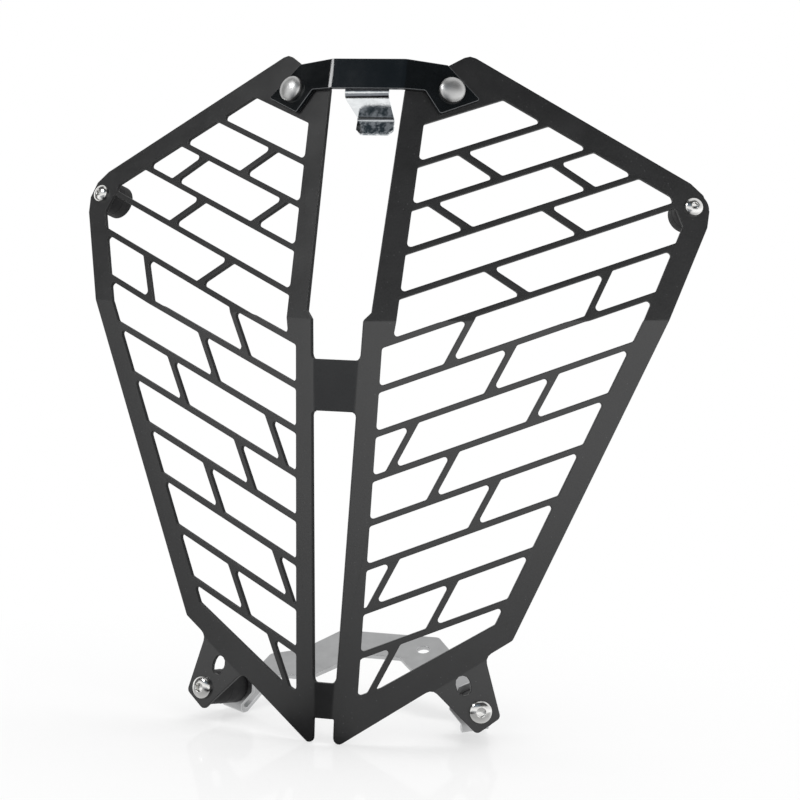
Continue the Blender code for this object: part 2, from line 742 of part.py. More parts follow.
def make_lower_bracket(collection):
    """Sloping zinc plate with two mounting holes and an ear behind each foot."""
    plate = PanelFrame((0.0, PLATE_HOLE_Y - ORIGIN_DEPTH, PLATE_HOLE_Z),
                       (0.0, math.cos(PLATE_PITCH), math.sin(PLATE_PITCH)))
    plate.inward *= math.copysign(1.0, plate.inward.z)
    foot = sheet_frame(FOOT_SCREW)
    back = -foot.col[2].to_3d()
    centre = foot.translation + back * spacer_end()
    line_3d = plate.inward.cross(back).normalized()
    line_3d *= math.copysign(1.0, line_3d.x)
    along = Vector((line_3d.dot(plate.across), line_3d.dot(plate.upward)))
    across = Vector((along.y, -along.x))
    rise = line_3d.cross(back)
    rise *= math.copysign(1.0, rise.z)
    outward = plate.across * across.x + plate.upward * across.y
    angle = outward.angle(rise)
    radius = PLATE_INNER_RADIUS + PLATE_SHEET
    # Height of the ear's centre above the corner that plate and ear would make
    height = (centre - plate.origin).dot(plate.inward) / rise.dot(plate.inward)
    foot_of_ear = centre - rise * height - plate.origin
    corner = Vector((foot_of_ear.dot(plate.across), foot_of_ear.dot(plate.upward)))
    back_off = setback(radius, angle)
    fold = Fold(corner - across * back_off, across, angle, radius)
    ear = corner + across * (fold.length + height - 2.0 * back_off)

    def beside(point, reach):
        return point + along * reach

    top = []
    for step in range(7):
        turn = math.pi * step / 6
        top.append((ear + across * (EAR_HALF * math.sin(turn)) - along * (EAR_HALF * math.cos(turn)),
                    0.0))
    corners = [
        (Vector((0.0, PLATE_NOTCH_EDGE)), 0.0),
        (Vector((PLATE_NOTCH_HALF, PLATE_NOTCH_EDGE)), PLATE_CORNER_RADIUS),
        (Vector((PLATE_WAIST_HALF, PLATE_WAIST_EDGE)), PLATE_CORNER_RADIUS),
        (Vector((PLATE_ARM_INNER_HALF, PLATE_WAIST_EDGE)), PLATE_CORNER_RADIUS),
        (beside(fold.origin, -EAR_FOOT_HALF), 0.0),
        (beside(fold.origin + across * fold.length, -EAR_FOOT_HALF), 0.0),
    ]
    corners += top
    corners += [
        (beside(fold.origin + across * fold.length, EAR_FOOT_HALF), 0.0),
        (beside(fold.origin, EAR_FOOT_HALF), 0.0),
        (Vector((PLATE_OUTER_HALF, PLATE_OUTER_EDGE)), PLATE_CORNER_RADIUS),
        (Vector((PLATE_SHOULDER_HALF, PLATE_SHOULDER)), PLATE_CORNER_RADIUS),
        (Vector((PLATE_BACK_HALF, PLATE_BACK_EDGE)), PLATE_CORNER_RADIUS),
        (Vector((0.0, PLATE_BACK_EDGE)), 0.0),
    ]
    outline = rounded([point for point, _ in corners], [size for _, size in corners])
    holes = [circle((PLATE_HOLE_HALF, 0.0), PLATE_HOLE_DIAMETER),
             circle(ear, FOOT_SHANK + 2.0 * HOLE_CLEARANCE)]
    return folded_sheet("lower_bracket", [outline] + holes, [fold], plate.to_world,
                        PLATE_SHEET, ZINC, collection)


# Fasteners, built along their own Z axis with the sheet's outer face at z = 0

def turned(name, profile, frame, finish, collection, closed=False):
    """Spin a profile of (radius, z) points, listed down its outer side, about Z."""
    mesh = bpy.data.meshes.new(name)
    vertices = [(radius, 0.0, height) for radius, height in profile]
    edges = [(index, index + 1) for index in range(len(profile) - 1)]
    if closed:
        edges.append((len(profile) - 1, 0))
    mesh.from_pydata(vertices, edges, [])
    item = add_object(name, mesh, collection, finish)
    item.matrix_world = frame
    spin = item.modifiers.new("turn", "SCREW")
    spin.steps = ROUND_STEPS
    spin.render_steps = ROUND_STEPS
    spin.use_merge_vertices = True
    spin.merge_threshold = 0.001 * MM
    spin.use_smooth_shade = True
    return item


def cut(item, cutter, cutters):
    """Take a cutter's shape out of a piece."""
    for collection in list(cutter.users_collection):
        collection.objects.unlink(cutter)
    cutters.objects.link(cutter)
    cutter.hide_render = True
    cutter.display_type = "WIRE"
    boolean = item.modifiers.new("cut", "BOOLEAN")
    boolean.operation = "DIFFERENCE"
    boolean.solver = "EXACT"
    boolean.object = cutter


def prism(name, sides, across_flats, height, frame, lift, collection, finish=None):
    """Upright prism with a regular base, its foot at a height in the frame."""
    mesh = bpy.data.meshes.new(name)
    work = bmesh.new()
    radius = 0.5 * across_flats / math.cos(math.pi / sides)
    bmesh.ops.create_cone(work, cap_ends=True, segments=sides, radius1=radius,
                          radius2=radius, depth=height)
    work.to_mesh(mesh)
    work.free()
    item = add_object(name, mesh, collection, finish)
    item.matrix_world = frame @ Matrix.Translation((0.0, 0.0, lift + 0.5 * height))
    return item


def head_profile(diameter, height, rim=0.25, steps=6):
    """Domed head from its crown to its underside edge, standing one gap off the sheet."""
    radius = 0.5 * diameter
    edge = rim * height
    profile = []
    for step in range(steps + 1):
        angle = 0.5 * math.pi * step / steps
        profile.append((radius * math.sin(angle),
                        GAP + edge + (height - edge) * math.cos(angle)))
    profile[0] = (0.0, GAP + height)
    profile.append((radius, GAP))
    return profile


def make_screw(name, frame, head, shank, length, finish, collection, cutters, socket=0.0):
    """Domed or button-head screw: head is (diameter, height), length is below the sheet's face."""
    profile = head_profile(*head)
    radius = 0.5 * shank
    tip = min(0.6 * MM, 0.4 * radius)
    profile += [(radius, GAP), (radius, tip - length), (radius - tip, -length), (0.0, -length)]
    item = turned(name, profile, frame, finish, collection)
    if socket > 0.0:
        depth = SOCKET_DEPTH_SHARE * head[1]
        key = prism(f"{name}_socket", 6, socket, 2.0 * depth, frame,
                    GAP + head[1] - depth, cutters)
        cut(item, key, cutters)
    return item


def make_ring(name, frame, outer, inner, top, height, finish, collection, chamfer=0.0):
    """Washer, spacer or sleeve, from top downwards, with an optional outer chamfer."""
    radius = 0.5 * outer
    bore = 0.5 * inner
    bottom = top - height
    if chamfer > 0.0:
        profile = [(bore, top), (radius - chamfer, top), (radius, top - chamfer),
                   (radius, bottom + chamfer), (radius - chamfer, bottom), (bore, bottom)]
    else:
        profile = [(bore, top), (radius, top), (radius, bottom), (bore, bottom)]
    return turned(name, profile, frame, finish, collection, closed=True)


def make_nut(name, frame, shank, top, finish, collection, cutters):
    """Hexagon nut with a clear bore and chamfered corners."""
    item = prism(name, 6, NUT_WIDTH, NUT_HEIGHT, frame, top - NUT_HEIGHT, collection, finish)
    bore = prism(f"{name}_bore", ROUND_STEPS, shank + 2.0 * GAP, 2.0 * NUT_HEIGHT, frame,
                 top - 1.5 * NUT_HEIGHT, cutters)
    edge = item.modifiers.new("chamfer", "BEVEL")
    edge.width = 0.4 * MM
    edge.segments = 1
    edge.limit_method = "ANGLE"
    edge.angle_limit = math.radians(70.0)
    cut(item, bore, cutters)
    return item


def make_buffer(name, frame, collection):
    """Rubber buffer behind a corner, open towards the sheet and closed at its back."""
    radius = 0.5 * BUFFER_DIAMETER
    top = -SHEET - GAP
    bottom = top - BUFFER_LENGTH
    pocket = 0.5 * INSERT_DIAMETER + GAP
    floor = top - INSERT_LENGTH - 2.0 * GAP
    profile = [(pocket, top), (radius - BUFFER_CHAMFER, top), (radius, top - BUFFER_CHAMFER),
               (radius, bottom + BUFFER_CHAMFER), (radius - BUFFER_CHAMFER, bottom),
               (0.0, bottom)]
    profile = [(0.0, floor), (pocket, floor)] + profile
    return turned(name, profile, frame, RUBBER, collection)


def make_dome_set(side, frame, collection, cutters):
    """Domed bolt through the top bracket and a wing, with its washer and nut."""
    forward = frame @ Matrix.Translation((0.0, 0.0, GAP + BRACKET_SHEET))
    nut_top = -SHEET - 2.0 * GAP - WASHER_HEIGHT
    length = GAP + BRACKET_SHEET - nut_top + NUT_HEIGHT + THREAD_PAST_NUT + GAP
    make_screw(f"dome_bolt_{side}", forward, (DOME_HEAD_DIAMETER, DOME_HEAD_HEIGHT),
               DOME_SHANK, length, STEEL, collection, cutters)
    make_ring(f"dome_washer_{side}", frame, WASHER_DIAMETER, DOME_SHANK + 2.0 * GAP,
              -SHEET - GAP, WASHER_HEIGHT, ZINC, collection)
    make_nut(f"dome_nut_{side}", frame, DOME_SHANK, nut_top - GAP, ZINC, collection, cutters)


def make_corner_set(side, frame, collection, cutters):
    """Button-head screw, rubber buffer and the threaded insert moulded into it."""
    insert_top = -SHEET - 2.0 * GAP
    length = SHEET + 2.0 * GAP + INSERT_LENGTH - 0.5 * MM
    make_screw(f"corner_screw_{side}", frame, (CORNER_HEAD_DIAMETER, CORNER_HEAD_HEIGHT),
               CORNER_SHANK, length, STEEL, collection, cutters, CORNER_SOCKET)
    make_buffer(f"corner_buffer_{side}", frame, collection)
    make_ring(f"corner_insert_{side}", frame, INSERT_DIAMETER, CORNER_SHANK + 2.0 * GAP,
              insert_top, INSERT_LENGTH, BRASS, collection)


def make_foot_set(side, frame, collection, cutters):
    """Button-head screw through a foot, its spacer and the bracket's ear, with a nut."""
    ear_back = -spacer_end() - PLATE_SHEET
    washer_top = ear_back - GAP
    nut_top = washer_top - WASHER_HEIGHT - GAP
    length = -nut_top + NUT_HEIGHT + THREAD_PAST_NUT
    make_screw(f"foot_screw_{side}", frame, (FOOT_HEAD_DIAMETER, FOOT_HEAD_HEIGHT),
               FOOT_SHANK, length, STEEL, collection, cutters, FOOT_SOCKET)
    make_ring(f"foot_spacer_{side}", frame, SPACER_DIAMETER, FOOT_SHANK + 2.0 * GAP,
              -SHEET - GAP, SPACER_LENGTH, RUBBER, collection, BUFFER_CHAMFER)
    make_ring(f"foot_washer_{side}", frame, WASHER_DIAMETER, FOOT_SHANK + 2.0 * GAP,
              washer_top, WASHER_HEIGHT, ZINC, collection)
    make_nut(f"foot_nut_{side}", frame, FOOT_SHANK, nut_top, ZINC, collection, cutters)


def main():
    """Build the whole guard."""
    clear_scene()
    parts = new_collection("headlight_guard")
    cutters = new_collection("cutters")
    make_grille(parts)
    make_top_bracket(parts)
    make_hook_clip(parts)
    make_lower_bracket(parts)
    sets = ((make_dome_set, DOME_BOLT), (make_corner_set, CORNER_SCREW),
            (make_foot_set, FOOT_SCREW))
    for make_set, place in sets:
        frame = sheet_frame(place)
        make_set("right", frame, parts, cutters)
        make_set("left", mirrored(frame), parts, cutters)


main()
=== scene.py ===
"""Looks of a motorcycle headlight guard: a folded, pierced grille with its fixings.

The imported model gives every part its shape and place. Here the cut edges of the sheet
pieces are broken, the fasteners get their sockets, threads and chamfers, the rubber parts
their moulded rims, and every surface its finish. A floor, soft light and the camera follow.

All lengths are in metres. X runs across the guard, +Y points back towards the lamp and +Z
is up.
"""

import logging
import math
from dataclasses import dataclass, field
from enum import Enum

import bpy
import numpy as np
from mathutils import Matrix, Vector


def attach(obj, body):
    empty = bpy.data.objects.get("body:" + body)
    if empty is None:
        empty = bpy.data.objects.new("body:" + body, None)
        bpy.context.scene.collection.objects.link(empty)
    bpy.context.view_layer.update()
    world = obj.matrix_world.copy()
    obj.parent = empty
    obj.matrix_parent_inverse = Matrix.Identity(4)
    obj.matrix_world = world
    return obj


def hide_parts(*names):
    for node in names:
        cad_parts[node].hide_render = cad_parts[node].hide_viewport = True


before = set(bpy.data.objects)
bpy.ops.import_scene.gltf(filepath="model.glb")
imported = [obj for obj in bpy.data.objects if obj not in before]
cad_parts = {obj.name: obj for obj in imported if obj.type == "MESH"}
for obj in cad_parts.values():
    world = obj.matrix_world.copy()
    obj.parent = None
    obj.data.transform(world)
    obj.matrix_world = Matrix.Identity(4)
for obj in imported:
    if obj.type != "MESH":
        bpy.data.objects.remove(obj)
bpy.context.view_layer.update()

MM = 0.001
BODY = "root"
# Decimals of a metre that tell two points of a CAD node apart
DECIMALS = 6
# Faces of a sheet and of a turned piece that turn further than this meet in a sharp edge
SHARP = math.radians(50.0)
TURNED_SHARP = math.radians(38.0)
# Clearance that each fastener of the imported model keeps, closed here
CLEARANCE = 0.28 * MM
# Columns of points round a turned piece
COLUMNS = 72
# Rough direction in which the fixings on the right of the guard face
FRONT = (0.37, -0.9, 0.2)

Triple = tuple[float, float, float]
Colour = Triple
Span = tuple[float, float]
Arrays = tuple[np.ndarray, np.ndarray]
Socket = bpy.types.NodeSocket
Value = float | Triple | Socket

UP: Span = (0.0, 1.0)
DOWN: Span = (1.0, 0.0)
# Values between which most of a noise lies
MIDDLE: Span = (0.3, 0.7)
WHITE: Colour = (1.0, 1.0, 1.0)
BLACK: Colour = (0.0, 0.0, 0.0)

log = logging.getLogger("headlight_guard")


class Slot(Enum):
    """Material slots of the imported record."""

    COAT = "black_coat"
    GLOSS = "black_gloss"
    ZINC = "bright_zinc"
    STEEL = "polished_steel"
    RUBBER = "black_rubber"
    BRASS = "brass"


class Side(Enum):
    """The two sides of the guard, as the node names give them."""

    RIGHT = "right"
    LEFT = "left"


# Node trees

@dataclass(frozen=True)
class Pattern:
    """Cloudy noise.

    Attributes:
        scale: number of features in a metre of the coordinates.
        detail: octaves of finer pattern.
        weight: weight of the finer octaves.
    """

    scale: float
    detail: float = 2.0
    weight: float = 0.5


class Wiring:
    """Node tree with short ways to add to it."""

    def __init__(self, tree: bpy.types.NodeTree) -> None:
        """Keep the tree that the nodes go into."""
        self.tree = tree

    def feed(self, node: bpy.types.Node, inputs: dict[int | str, Value]) -> None:
        """Give inputs of a node what goes into them.

        Args:
            node: the node.
            inputs: an output, a number, a vector or a colour for each input that is named
                or numbered.
        """
        for key, value in inputs.items():
            target = node.inputs[key]
            if isinstance(value, Socket):
                self.tree.links.new(value, target)
            elif target.type == "RGBA":
                target.default_value = (*value, 1.0)
            else:
                target.default_value = value

    def node(self, kind: str, inputs: dict[int | str, Value], **settings: str) -> bpy.types.Node:
        """Add a node.

        Args:
            kind: type of the node.
            inputs: what goes into its inputs.
            settings: its properties.

        Returns:
            The node.
        """
        added = self.tree.nodes.new(kind)
        for name, setting in settings.items():
            setattr(added, name, setting)
        self.feed(added, inputs)
        return added

    def spread(self, source: Socket, span: Span, reach: Span = UP,
               kind: str = "LINEAR") -> Socket:
        """Carry the values of one span onto another, held at its ends.

        Args:
            source: the value to map.
            span: values at which the results begin and end.
            reach: results at those two values.
            kind: shape of the step between them.

        Returns:
            The mapped value.
        """
        inputs = dict(enumerate((source, *span, *reach)))
        return self.node("ShaderNodeMapRange", inputs, interpolation_type=kind).outputs[0]

    def ramp(self, source: Socket, span: Span, reach: Span = UP) -> Socket:
        """Carry the values of one span onto another in an S-shaped step."""
        return self.spread(source, span, reach, "SMOOTHSTEP")

    def maths(self, operation: str, first: Socket, second: Socket) -> Socket:
        """Result of an operation on two values."""
        inputs = {0: first, 1: second}
        return self.node("ShaderNodeMath", inputs, operation=operation).outputs[0]

    def vector(self, operation: str, *operands: Triple | Socket) -> Socket:
        """Result of an operation on vectors.

        Args:
            operation: which one.
            operands: outputs or plain vectors.

        Returns:
            A value for a length or a dot product, else a vector.
        """
        node = self.node("ShaderNodeVectorMath", dict(enumerate(operands)), operation=operation)
        return node.outputs["Value" if operation in ("LENGTH", "DOT_PRODUCT") else "Vector"]

    def along(self, source: Socket, axis: str) -> Socket:
        """One coordinate of a vector."""
        return self.node("ShaderNodeSeparateXYZ", {0: source}).outputs[axis]

    def blend(self, share: Socket, first: Value, second: Value) -> Socket:
        """Mix a second colour into a first by a share."""
        inputs = {0: share, 6: first, 7: second}
        return self.node("ShaderNodeMix", inputs, data_type="RGBA").outputs[2]

    def layer(self, share: Value, below: Socket, above: Socket) -> Socket:
        """Lay a surface over another by a share."""
        return self.node("ShaderNodeMixShader", {0: share, 1: below, 2: above}).outputs[0]


class Shader(Wiring):
    """Node tree of one material."""

    def __init__(self, name: str) -> None:
        """Start from a plain surface, with object coordinates and the map as places.

        Args:
            name: name of the material.
        """
        self.material = bpy.data.materials.new(name)
        self.material.use_nodes = True
        super().__init__(self.material.node_tree)
        self.surface = self.tree.nodes["Principled BSDF"]
        coordinates = self.node("ShaderNodeTexCoord", {})
        self.place = coordinates.outputs["Object"]
        self.wrap = coordinates.outputs["UV"]

    def stretched(self, scale: Triple, source: Socket | None = None) -> Socket:
        """Scale coordinates, object coordinates if none are given, along each axis."""
        inputs = {"Vector": source or self.place, "Scale": scale}
        return self.node("ShaderNodeMapping", inputs).outputs["Vector"]

    def noise(self, pattern: Pattern, source: Socket | None = None) -> Socket:
        """Cloudy pattern between 0 and 1.

        Args:
            pattern: its size and detail.
            source: the coordinates, or None for object coordinates.

        Returns:
            The pattern's value.
        """
        inputs = {"Vector": source or self.place, "Scale": pattern.scale,
                  "Detail": pattern.detail, "Roughness": pattern.weight}
        return self.node("ShaderNodeTexNoise", inputs).outputs["Fac"]

    def cells(self, scale: float, output: str = "Distance") -> Socket:
        """Irregular cells: the distance from the cell's centre, or the cell's "Color"."""
        inputs = {"Vector": self.place, "Scale": scale}
        return self.node("ShaderNodeTexVoronoi", inputs).outputs[output]

    def bump(self, height: Socket, depth: float, below: Socket | None = None) -> Socket:
        """Raise a surface by a pattern.

        Args:
            height: the pattern, 0 to 1.
            depth: height in metres that a value of 1 stands for.
            below: a normal that this one is laid over.

        Returns:
            The new normal.
        """
        inputs = {"Strength": 1.0, "Distance": depth, "Height": height}
        if below is not None:
            inputs["Normal"] = below
        return self.node("ShaderNodeBump", inputs).outputs["Normal"]

    def dress(self, colour: Socket, roughness: Socket, normal: Socket, metallic: float = 0.0,
              specular: float = 0.5) -> bpy.types.Material:
        """Give the surface what it shows.

        Args:
            colour: its colour.
            roughness: its roughness.
            normal: its normal.
            metallic: 1 for metal, 0 for coats and rubber.
            specular: strength of its reflections, 0.5 for a common plastic.

        Returns:
            The material.
        """
        self.feed(self.surface, {"Base Color": colour, "Roughness": roughness, "Normal": normal,
                                 "Metallic": metallic, "Specular IOR Level": specular})
        return self.material


# Finishes

@dataclass(frozen=True)
class PowderCoat:
    """Satin powder coating: fine orange peel, faint clouds and sparse pale specks.

    Attributes:
        specks: cells in a metre, of which some hold a speck.
        speck_edge: distances from a cell's centre between which its speck ends.
        speck_choice: shades of a cell between which its speck comes up.
        speck_share: share of the speck's colour at its middle.
        sheen: strength of the reflections.
    """

    name: str = "satin_powder_coat"
    slot: Slot = Slot.COAT
    shade: Colour = (0.0088, 0.0090, 0.0096)
    cloud: Colour = (0.0125, 0.0127, 0.0134)
    clouds: Pattern = Pattern(45.0, 4.0, 0.6)
    speck: Colour = (0.085, 0.085, 0.088)
    specks: float = 620.0
    speck_edge: Span = (0.08, 0.20)
    speck_choice: Span = (0.74, 0.80)
    speck_share: float = 0.75
    roughness: Span = (0.29, 0.36)
    peel: Pattern = Pattern(950.0, 2.0, 0.55)
    peel_depth: float = 0.030 * MM
    sheen: float = 0.78

    def material(self) -> bpy.types.Material:
        """Specks are the middles of small cells, kept where a cell's own shade is high.

        Returns:
            The material.
        """
        shader = Shader(self.name)
        cloud = shader.noise(self.clouds)
        middle = shader.spread(shader.cells(self.specks), self.speck_edge, DOWN)
        chosen = shader.spread(shader.cells(self.specks, "Color"), self.speck_choice,
                               (0.0, self.speck_share))
        colour = shader.blend(shader.spread(cloud, MIDDLE), self.shade, self.cloud)
        colour = shader.blend(shader.maths("MULTIPLY", middle, chosen), colour, self.speck)
        peel = shader.bump(shader.noise(self.peel), self.peel_depth)
        return shader.dress(colour, shader.spread(cloud, MIDDLE, self.roughness), peel,
                            specular=self.sheen)


@dataclass(frozen=True)
class GlossCoat:
    """Glossy black enamel: smooth, with a long faint ripple and a cool tint."""

    name: str = "gloss_black_enamel"
    slot: Slot = Slot.GLOSS
    shade: Colour = (0.0030, 0.0042, 0.0050)
    cloud: Colour = (0.0045, 0.0062, 0.0075)
    patches: Pattern = Pattern(70.0, 4.0, 0.6)
    roughness: Span = (0.13, 0.21)
    ripple: Pattern = Pattern(160.0, 1.0)
    ripple_depth: float = 0.06 * MM
    skin: Pattern = Pattern(1300.0, 1.0)
    skin_depth: float = 0.008 * MM

    def material(self) -> bpy.types.Material:
        """A long ripple under a fine one, with patches that are a little duller.

        Returns:
            The material.
        """
        shader = Shader(self.name)
        patch = shader.noise(self.patches)
        colour = shader.blend(shader.spread(patch, MIDDLE), self.shade, self.cloud)
        ripple = shader.bump(shader.noise(self.ripple), self.ripple_depth)
        skin = shader.bump(shader.noise(self.skin), self.skin_depth, ripple)
        return shader.dress(colour, shader.spread(patch, MIDDLE, self.roughness), skin)


@dataclass(frozen=True)
class ZincPlate:
    """Zinc plating on rolled sheet: grain along one axis, soft spangle and dull patches.

    Attributes:
        grain: how often the grain changes in a metre along X, Y and Z.
        spangle: flakes in a metre.
        flake_span: shades of a flake between which it turns dull.
        flake_share: how dull the dullest flake is.
        patch_span: values of the patches between which they turn dull.
        stain_and_painted_reflection: colour of small dark spots, painted dark reflection with a
            little passivation tarnish, or None for no spots.
        painted_reflection_top: heights between which the spots end, so that they lie only below
            them.
        spot_span: values of their pattern between which a spot comes up.
        spot_share: share of the spots' colour at a spot's middle.
    """

    name: str
    shade: Colour
    dull: Colour
    roughness: Span
    grain: Triple
    grain_depth: float
    dent_depth: float
    spangle: float = 260.0
    flake_span: Span = (0.1, 0.9)
    flake_share: float = 0.35
    patches: Pattern = Pattern(120.0, 5.0, 0.65)
    patch_span: Span = (0.35, 0.7)
    stain_and_painted_reflection: Colour | None = None
    painted_reflection_top: Span = UP
    spots: Pattern = Pattern(360.0, 4.0, 0.6)
    spot_span: Span = (0.41, 0.55)
    spot_share: float = 0.92
    lines: Pattern = Pattern(1.0, 3.0, 0.6)
    dents: Pattern = Pattern(95.0)
    slot: Slot = Slot.ZINC

    def material(self) -> bpy.types.Material:
        """Grain is a noise stretched along the rolling direction, laid over soft dents.

        Returns:
            The material.
        """
        shader = Shader(self.name)
        patch = shader.noise(self.patches)
        flakes = shader.spread(shader.cells(self.spangle, "Color"), self.flake_span,
                               (0.0, self.flake_share))
        colour = shader.blend(shader.spread(patch, self.patch_span), self.shade, self.dull)
        colour = shader.blend(flakes, colour, self.dull)
        # Painted dark reflection with a little tarnish: dark spots that lie only below a set
        # height.
        if self.stain_and_painted_reflection is not None:
            spots = shader.spread(shader.noise(self.spots), self.spot_span, (0.0, self.spot_share))
            low = shader.spread(shader.along(shader.place, "Z"), self.painted_reflection_top, DOWN)
            colour = shader.blend(shader.maths("MULTIPLY", spots, low), colour, self.stain_and_painted_reflection)
        grain = shader.noise(self.lines, shader.stretched(self.grain))
        dented = shader.bump(shader.noise(self.dents), self.dent_depth)
        return shader.dress(colour, shader.spread(patch, MIDDLE, self.roughness),
                            shader.bump(grain, self.grain_depth, dented), metallic=1.0)


@dataclass(frozen=True)
class TurnedMetal:
    """Bright turned metal: fine rings round the piece's own axis.

    Attributes:
        rings: how often the rings change round the axis and along the profile.
        patch_span: values of the patches between which the stain comes up.
        patch_share: share of the stain where it is strongest.
    """

    name: str = "polished_steel"
    slot: Slot = Slot.STEEL
    shade: Colour = (0.74, 0.735, 0.72)
    stain_and_painted_reflection: Colour = (0.52, 0.515, 0.50)
    roughness: Span = (0.13, 0.22)
    rings: Triple = (3.0, 150.0, 1.0)
    ring: Pattern = Pattern(1.0, 2.0, 0.6)
    ring_depth: float = 0.006 * MM
    patches: Pattern = Pattern(420.0, 4.0, 0.6)
    patch_span: Span = (0.5, 0.8)
    patch_share: float = 0.5

    def material(self) -> bpy.types.Material:
        """Rings are a noise that changes fast along the profile and slowly round it.

        Returns:
            The material.
        """
        shader = Shader(self.name)
        ring = shader.noise(self.ring, shader.stretched(self.rings, shader.wrap))
        patch = shader.spread(shader.noise(self.patches), self.patch_span,
                              (0.0, self.patch_share))
        return shader.dress(shader.blend(patch, self.shade, self.stain_and_painted_reflection),
                            shader.spread(ring, MIDDLE, self.roughness),
                            shader.bump(ring, self.ring_depth), metallic=1.0)


@dataclass(frozen=True)
class MouldedRubber:
    """Matt moulded rubber with a fine leathery skin and a pale bloom."""

    name: str = "black_rubber"
    slot: Slot = Slot.RUBBER
    shade: Colour = (0.0105, 0.0105, 0.011)
    bloom: Colour = (0.018, 0.018, 0.019)
    roughness: Span = (0.55, 0.78)
    patches: Pattern = Pattern(210.0, 5.0, 0.65)
    patch_span: Span = (0.4, 0.75)
    skin: Pattern = Pattern(1500.0, 3.0, 0.6)
    skin_depth: float = 0.03 * MM
    sheen: float = 0.25

    def material(self) -> bpy.types.Material:
        """Bloom lies in soft patches over a fine skin.

        Returns:
            The material.
        """
        shader = Shader(self.name)
        patch = shader.noise(self.patches)
        colour = shader.blend(shader.spread(patch, self.patch_span), self.shade, self.bloom)
        skin = shader.bump(shader.noise(self.skin), self.skin_depth)
        return shader.dress(colour, shader.spread(patch, MIDDLE, self.roughness), skin,
                            specular=self.sheen)


Finish = PowderCoat | GlossCoat | ZincPlate | TurnedMetal | MouldedRubber

COAT = PowderCoat()
COAT_EDGE = PowderCoat(name="satin_coat_edge", shade=(0.0095, 0.0097, 0.0103),
                       cloud=(0.0135, 0.0137, 0.0144), roughness=(0.34, 0.42), sheen=0.5)
# Painted shade: a darker, duller copy of the coat for the cut walls inside the holes, where shade
# falls.
COAT_WALL_SHADE = PowderCoat(name="satin_coat_wall_painted_shade", shade=(0.0045, 0.0046, 0.0049),
                       cloud=(0.0065, 0.0066, 0.0070), roughness=(0.40, 0.50), sheen=0.22)
GLOSS = GlossCoat()
# Partly thin enamel, partly painted highlight: the pale colour draws light lines along the
# bracket's broken edges.
GLOSS_EDGE_HIGHLIGHT = GlossCoat(name="gloss_enamel_edge_painted_highlight", shade=(0.085, 0.09, 0.095),
                       cloud=(0.12, 0.126, 0.132), roughness=(0.2, 0.3))
# Its dark spots below a set height, on the clip's flap, are painted dark reflection with a little
# passivation tarnish.
BRIGHT_ZINC = ZincPlate(name="bright_zinc", shade=(0.80, 0.82, 0.83), dull=(0.60, 0.62, 0.63),
                        roughness=(0.05, 0.14), grain=(700.0, 700.0, 900.0),
                        grain_depth=0.05 * MM, dent_depth=0.06 * MM,
                        stain_and_painted_reflection=(0.045, 0.075, 0.09), painted_reflection_top=(305.8 * MM, 307.4 * MM))
BRIGHT_EDGE = ZincPlate(name="bright_zinc_edge", shade=(0.86, 0.87, 0.88),
                        dull=(0.72, 0.73, 0.74), roughness=(0.2, 0.32),
                        grain=(1500.0, 1500.0, 1500.0), grain_depth=0.01 * MM,
                        dent_depth=0.02 * MM)
SATIN_ZINC = ZincPlate(name="satin_zinc", shade=(0.42, 0.423, 0.426), dull=(0.385, 0.388, 0.391),
                       roughness=(0.34, 0.42), grain=(140.0, 1600.0, 1600.0),
                       grain_depth=0.006 * MM, dent_depth=0.008 * MM, spangle=420.0)
SATIN_EDGE = ZincPlate(name="satin_zinc_edge", shade=(0.62, 0.625, 0.63),
                       dull=(0.5, 0.505, 0.51), roughness=(0.3, 0.42),
                       grain=(1500.0, 1500.0, 1500.0), grain_depth=0.012 * MM,
                       dent_depth=0.02 * MM)
STEEL = TurnedMetal()
DOME_STEEL = TurnedMetal(name="satin_steel", shade=(0.53, 0.53, 0.525),
                         stain_and_painted_reflection=(0.41, 0.41, 0.405), roughness=(0.34, 0.44))
ZINC_TURNED = TurnedMetal(name="zinc_fastener", slot=Slot.ZINC, shade=(0.66, 0.68, 0.69),
                          stain_and_painted_reflection=(0.48, 0.50, 0.51), roughness=(0.2, 0.34))
BRASS = TurnedMetal(name="turned_brass", slot=Slot.BRASS, shade=(0.72, 0.52, 0.22),
                    stain_and_painted_reflection=(0.5, 0.34, 0.13), roughness=(0.24, 0.38))
RUBBER = MouldedRubber()


class FinishBook:
    """Keeps one material for each finish, however many pieces wear it."""

    def __init__(self) -> None:
        """Start with no materials."""
        self.made: dict[str, bpy.types.Material] = {}

    def of(self, finish: Finish) -> bpy.types.Material:
        """Look up the material of a finish, and make it the first time.

        Args:
            finish: the finish.

        Returns:
            Its material.
        """
        if finish.name not in self.made:
            self.made[finish.name] = finish.material()
        return self.made[finish.name]


BOOK = FinishBook()


# Surfaces

def column(items: bpy.types.bpy_prop_collection, name: str, width: int = 3,
           kind: type = float) -> np.ndarray:
    """Read one attribute of all vertices or triangles of a mesh.

    Args:
        items: the vertices or triangles.
        name: the attribute.
        width: how many values it has.
        kind: type of the values.

    Returns:
        One row for each item.
    """
    flat = np.empty(width * len(items), kind)
    items.foreach_get(name, flat)
    return flat.reshape(-1, width)


def node_points(node: str) -> np.ndarray:
    """Distinct points of a CAD node, as rows."""
    points = column(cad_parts[node].data.vertices, "co")
    return np.unique(np.round(points, DECIMALS), axis=0)


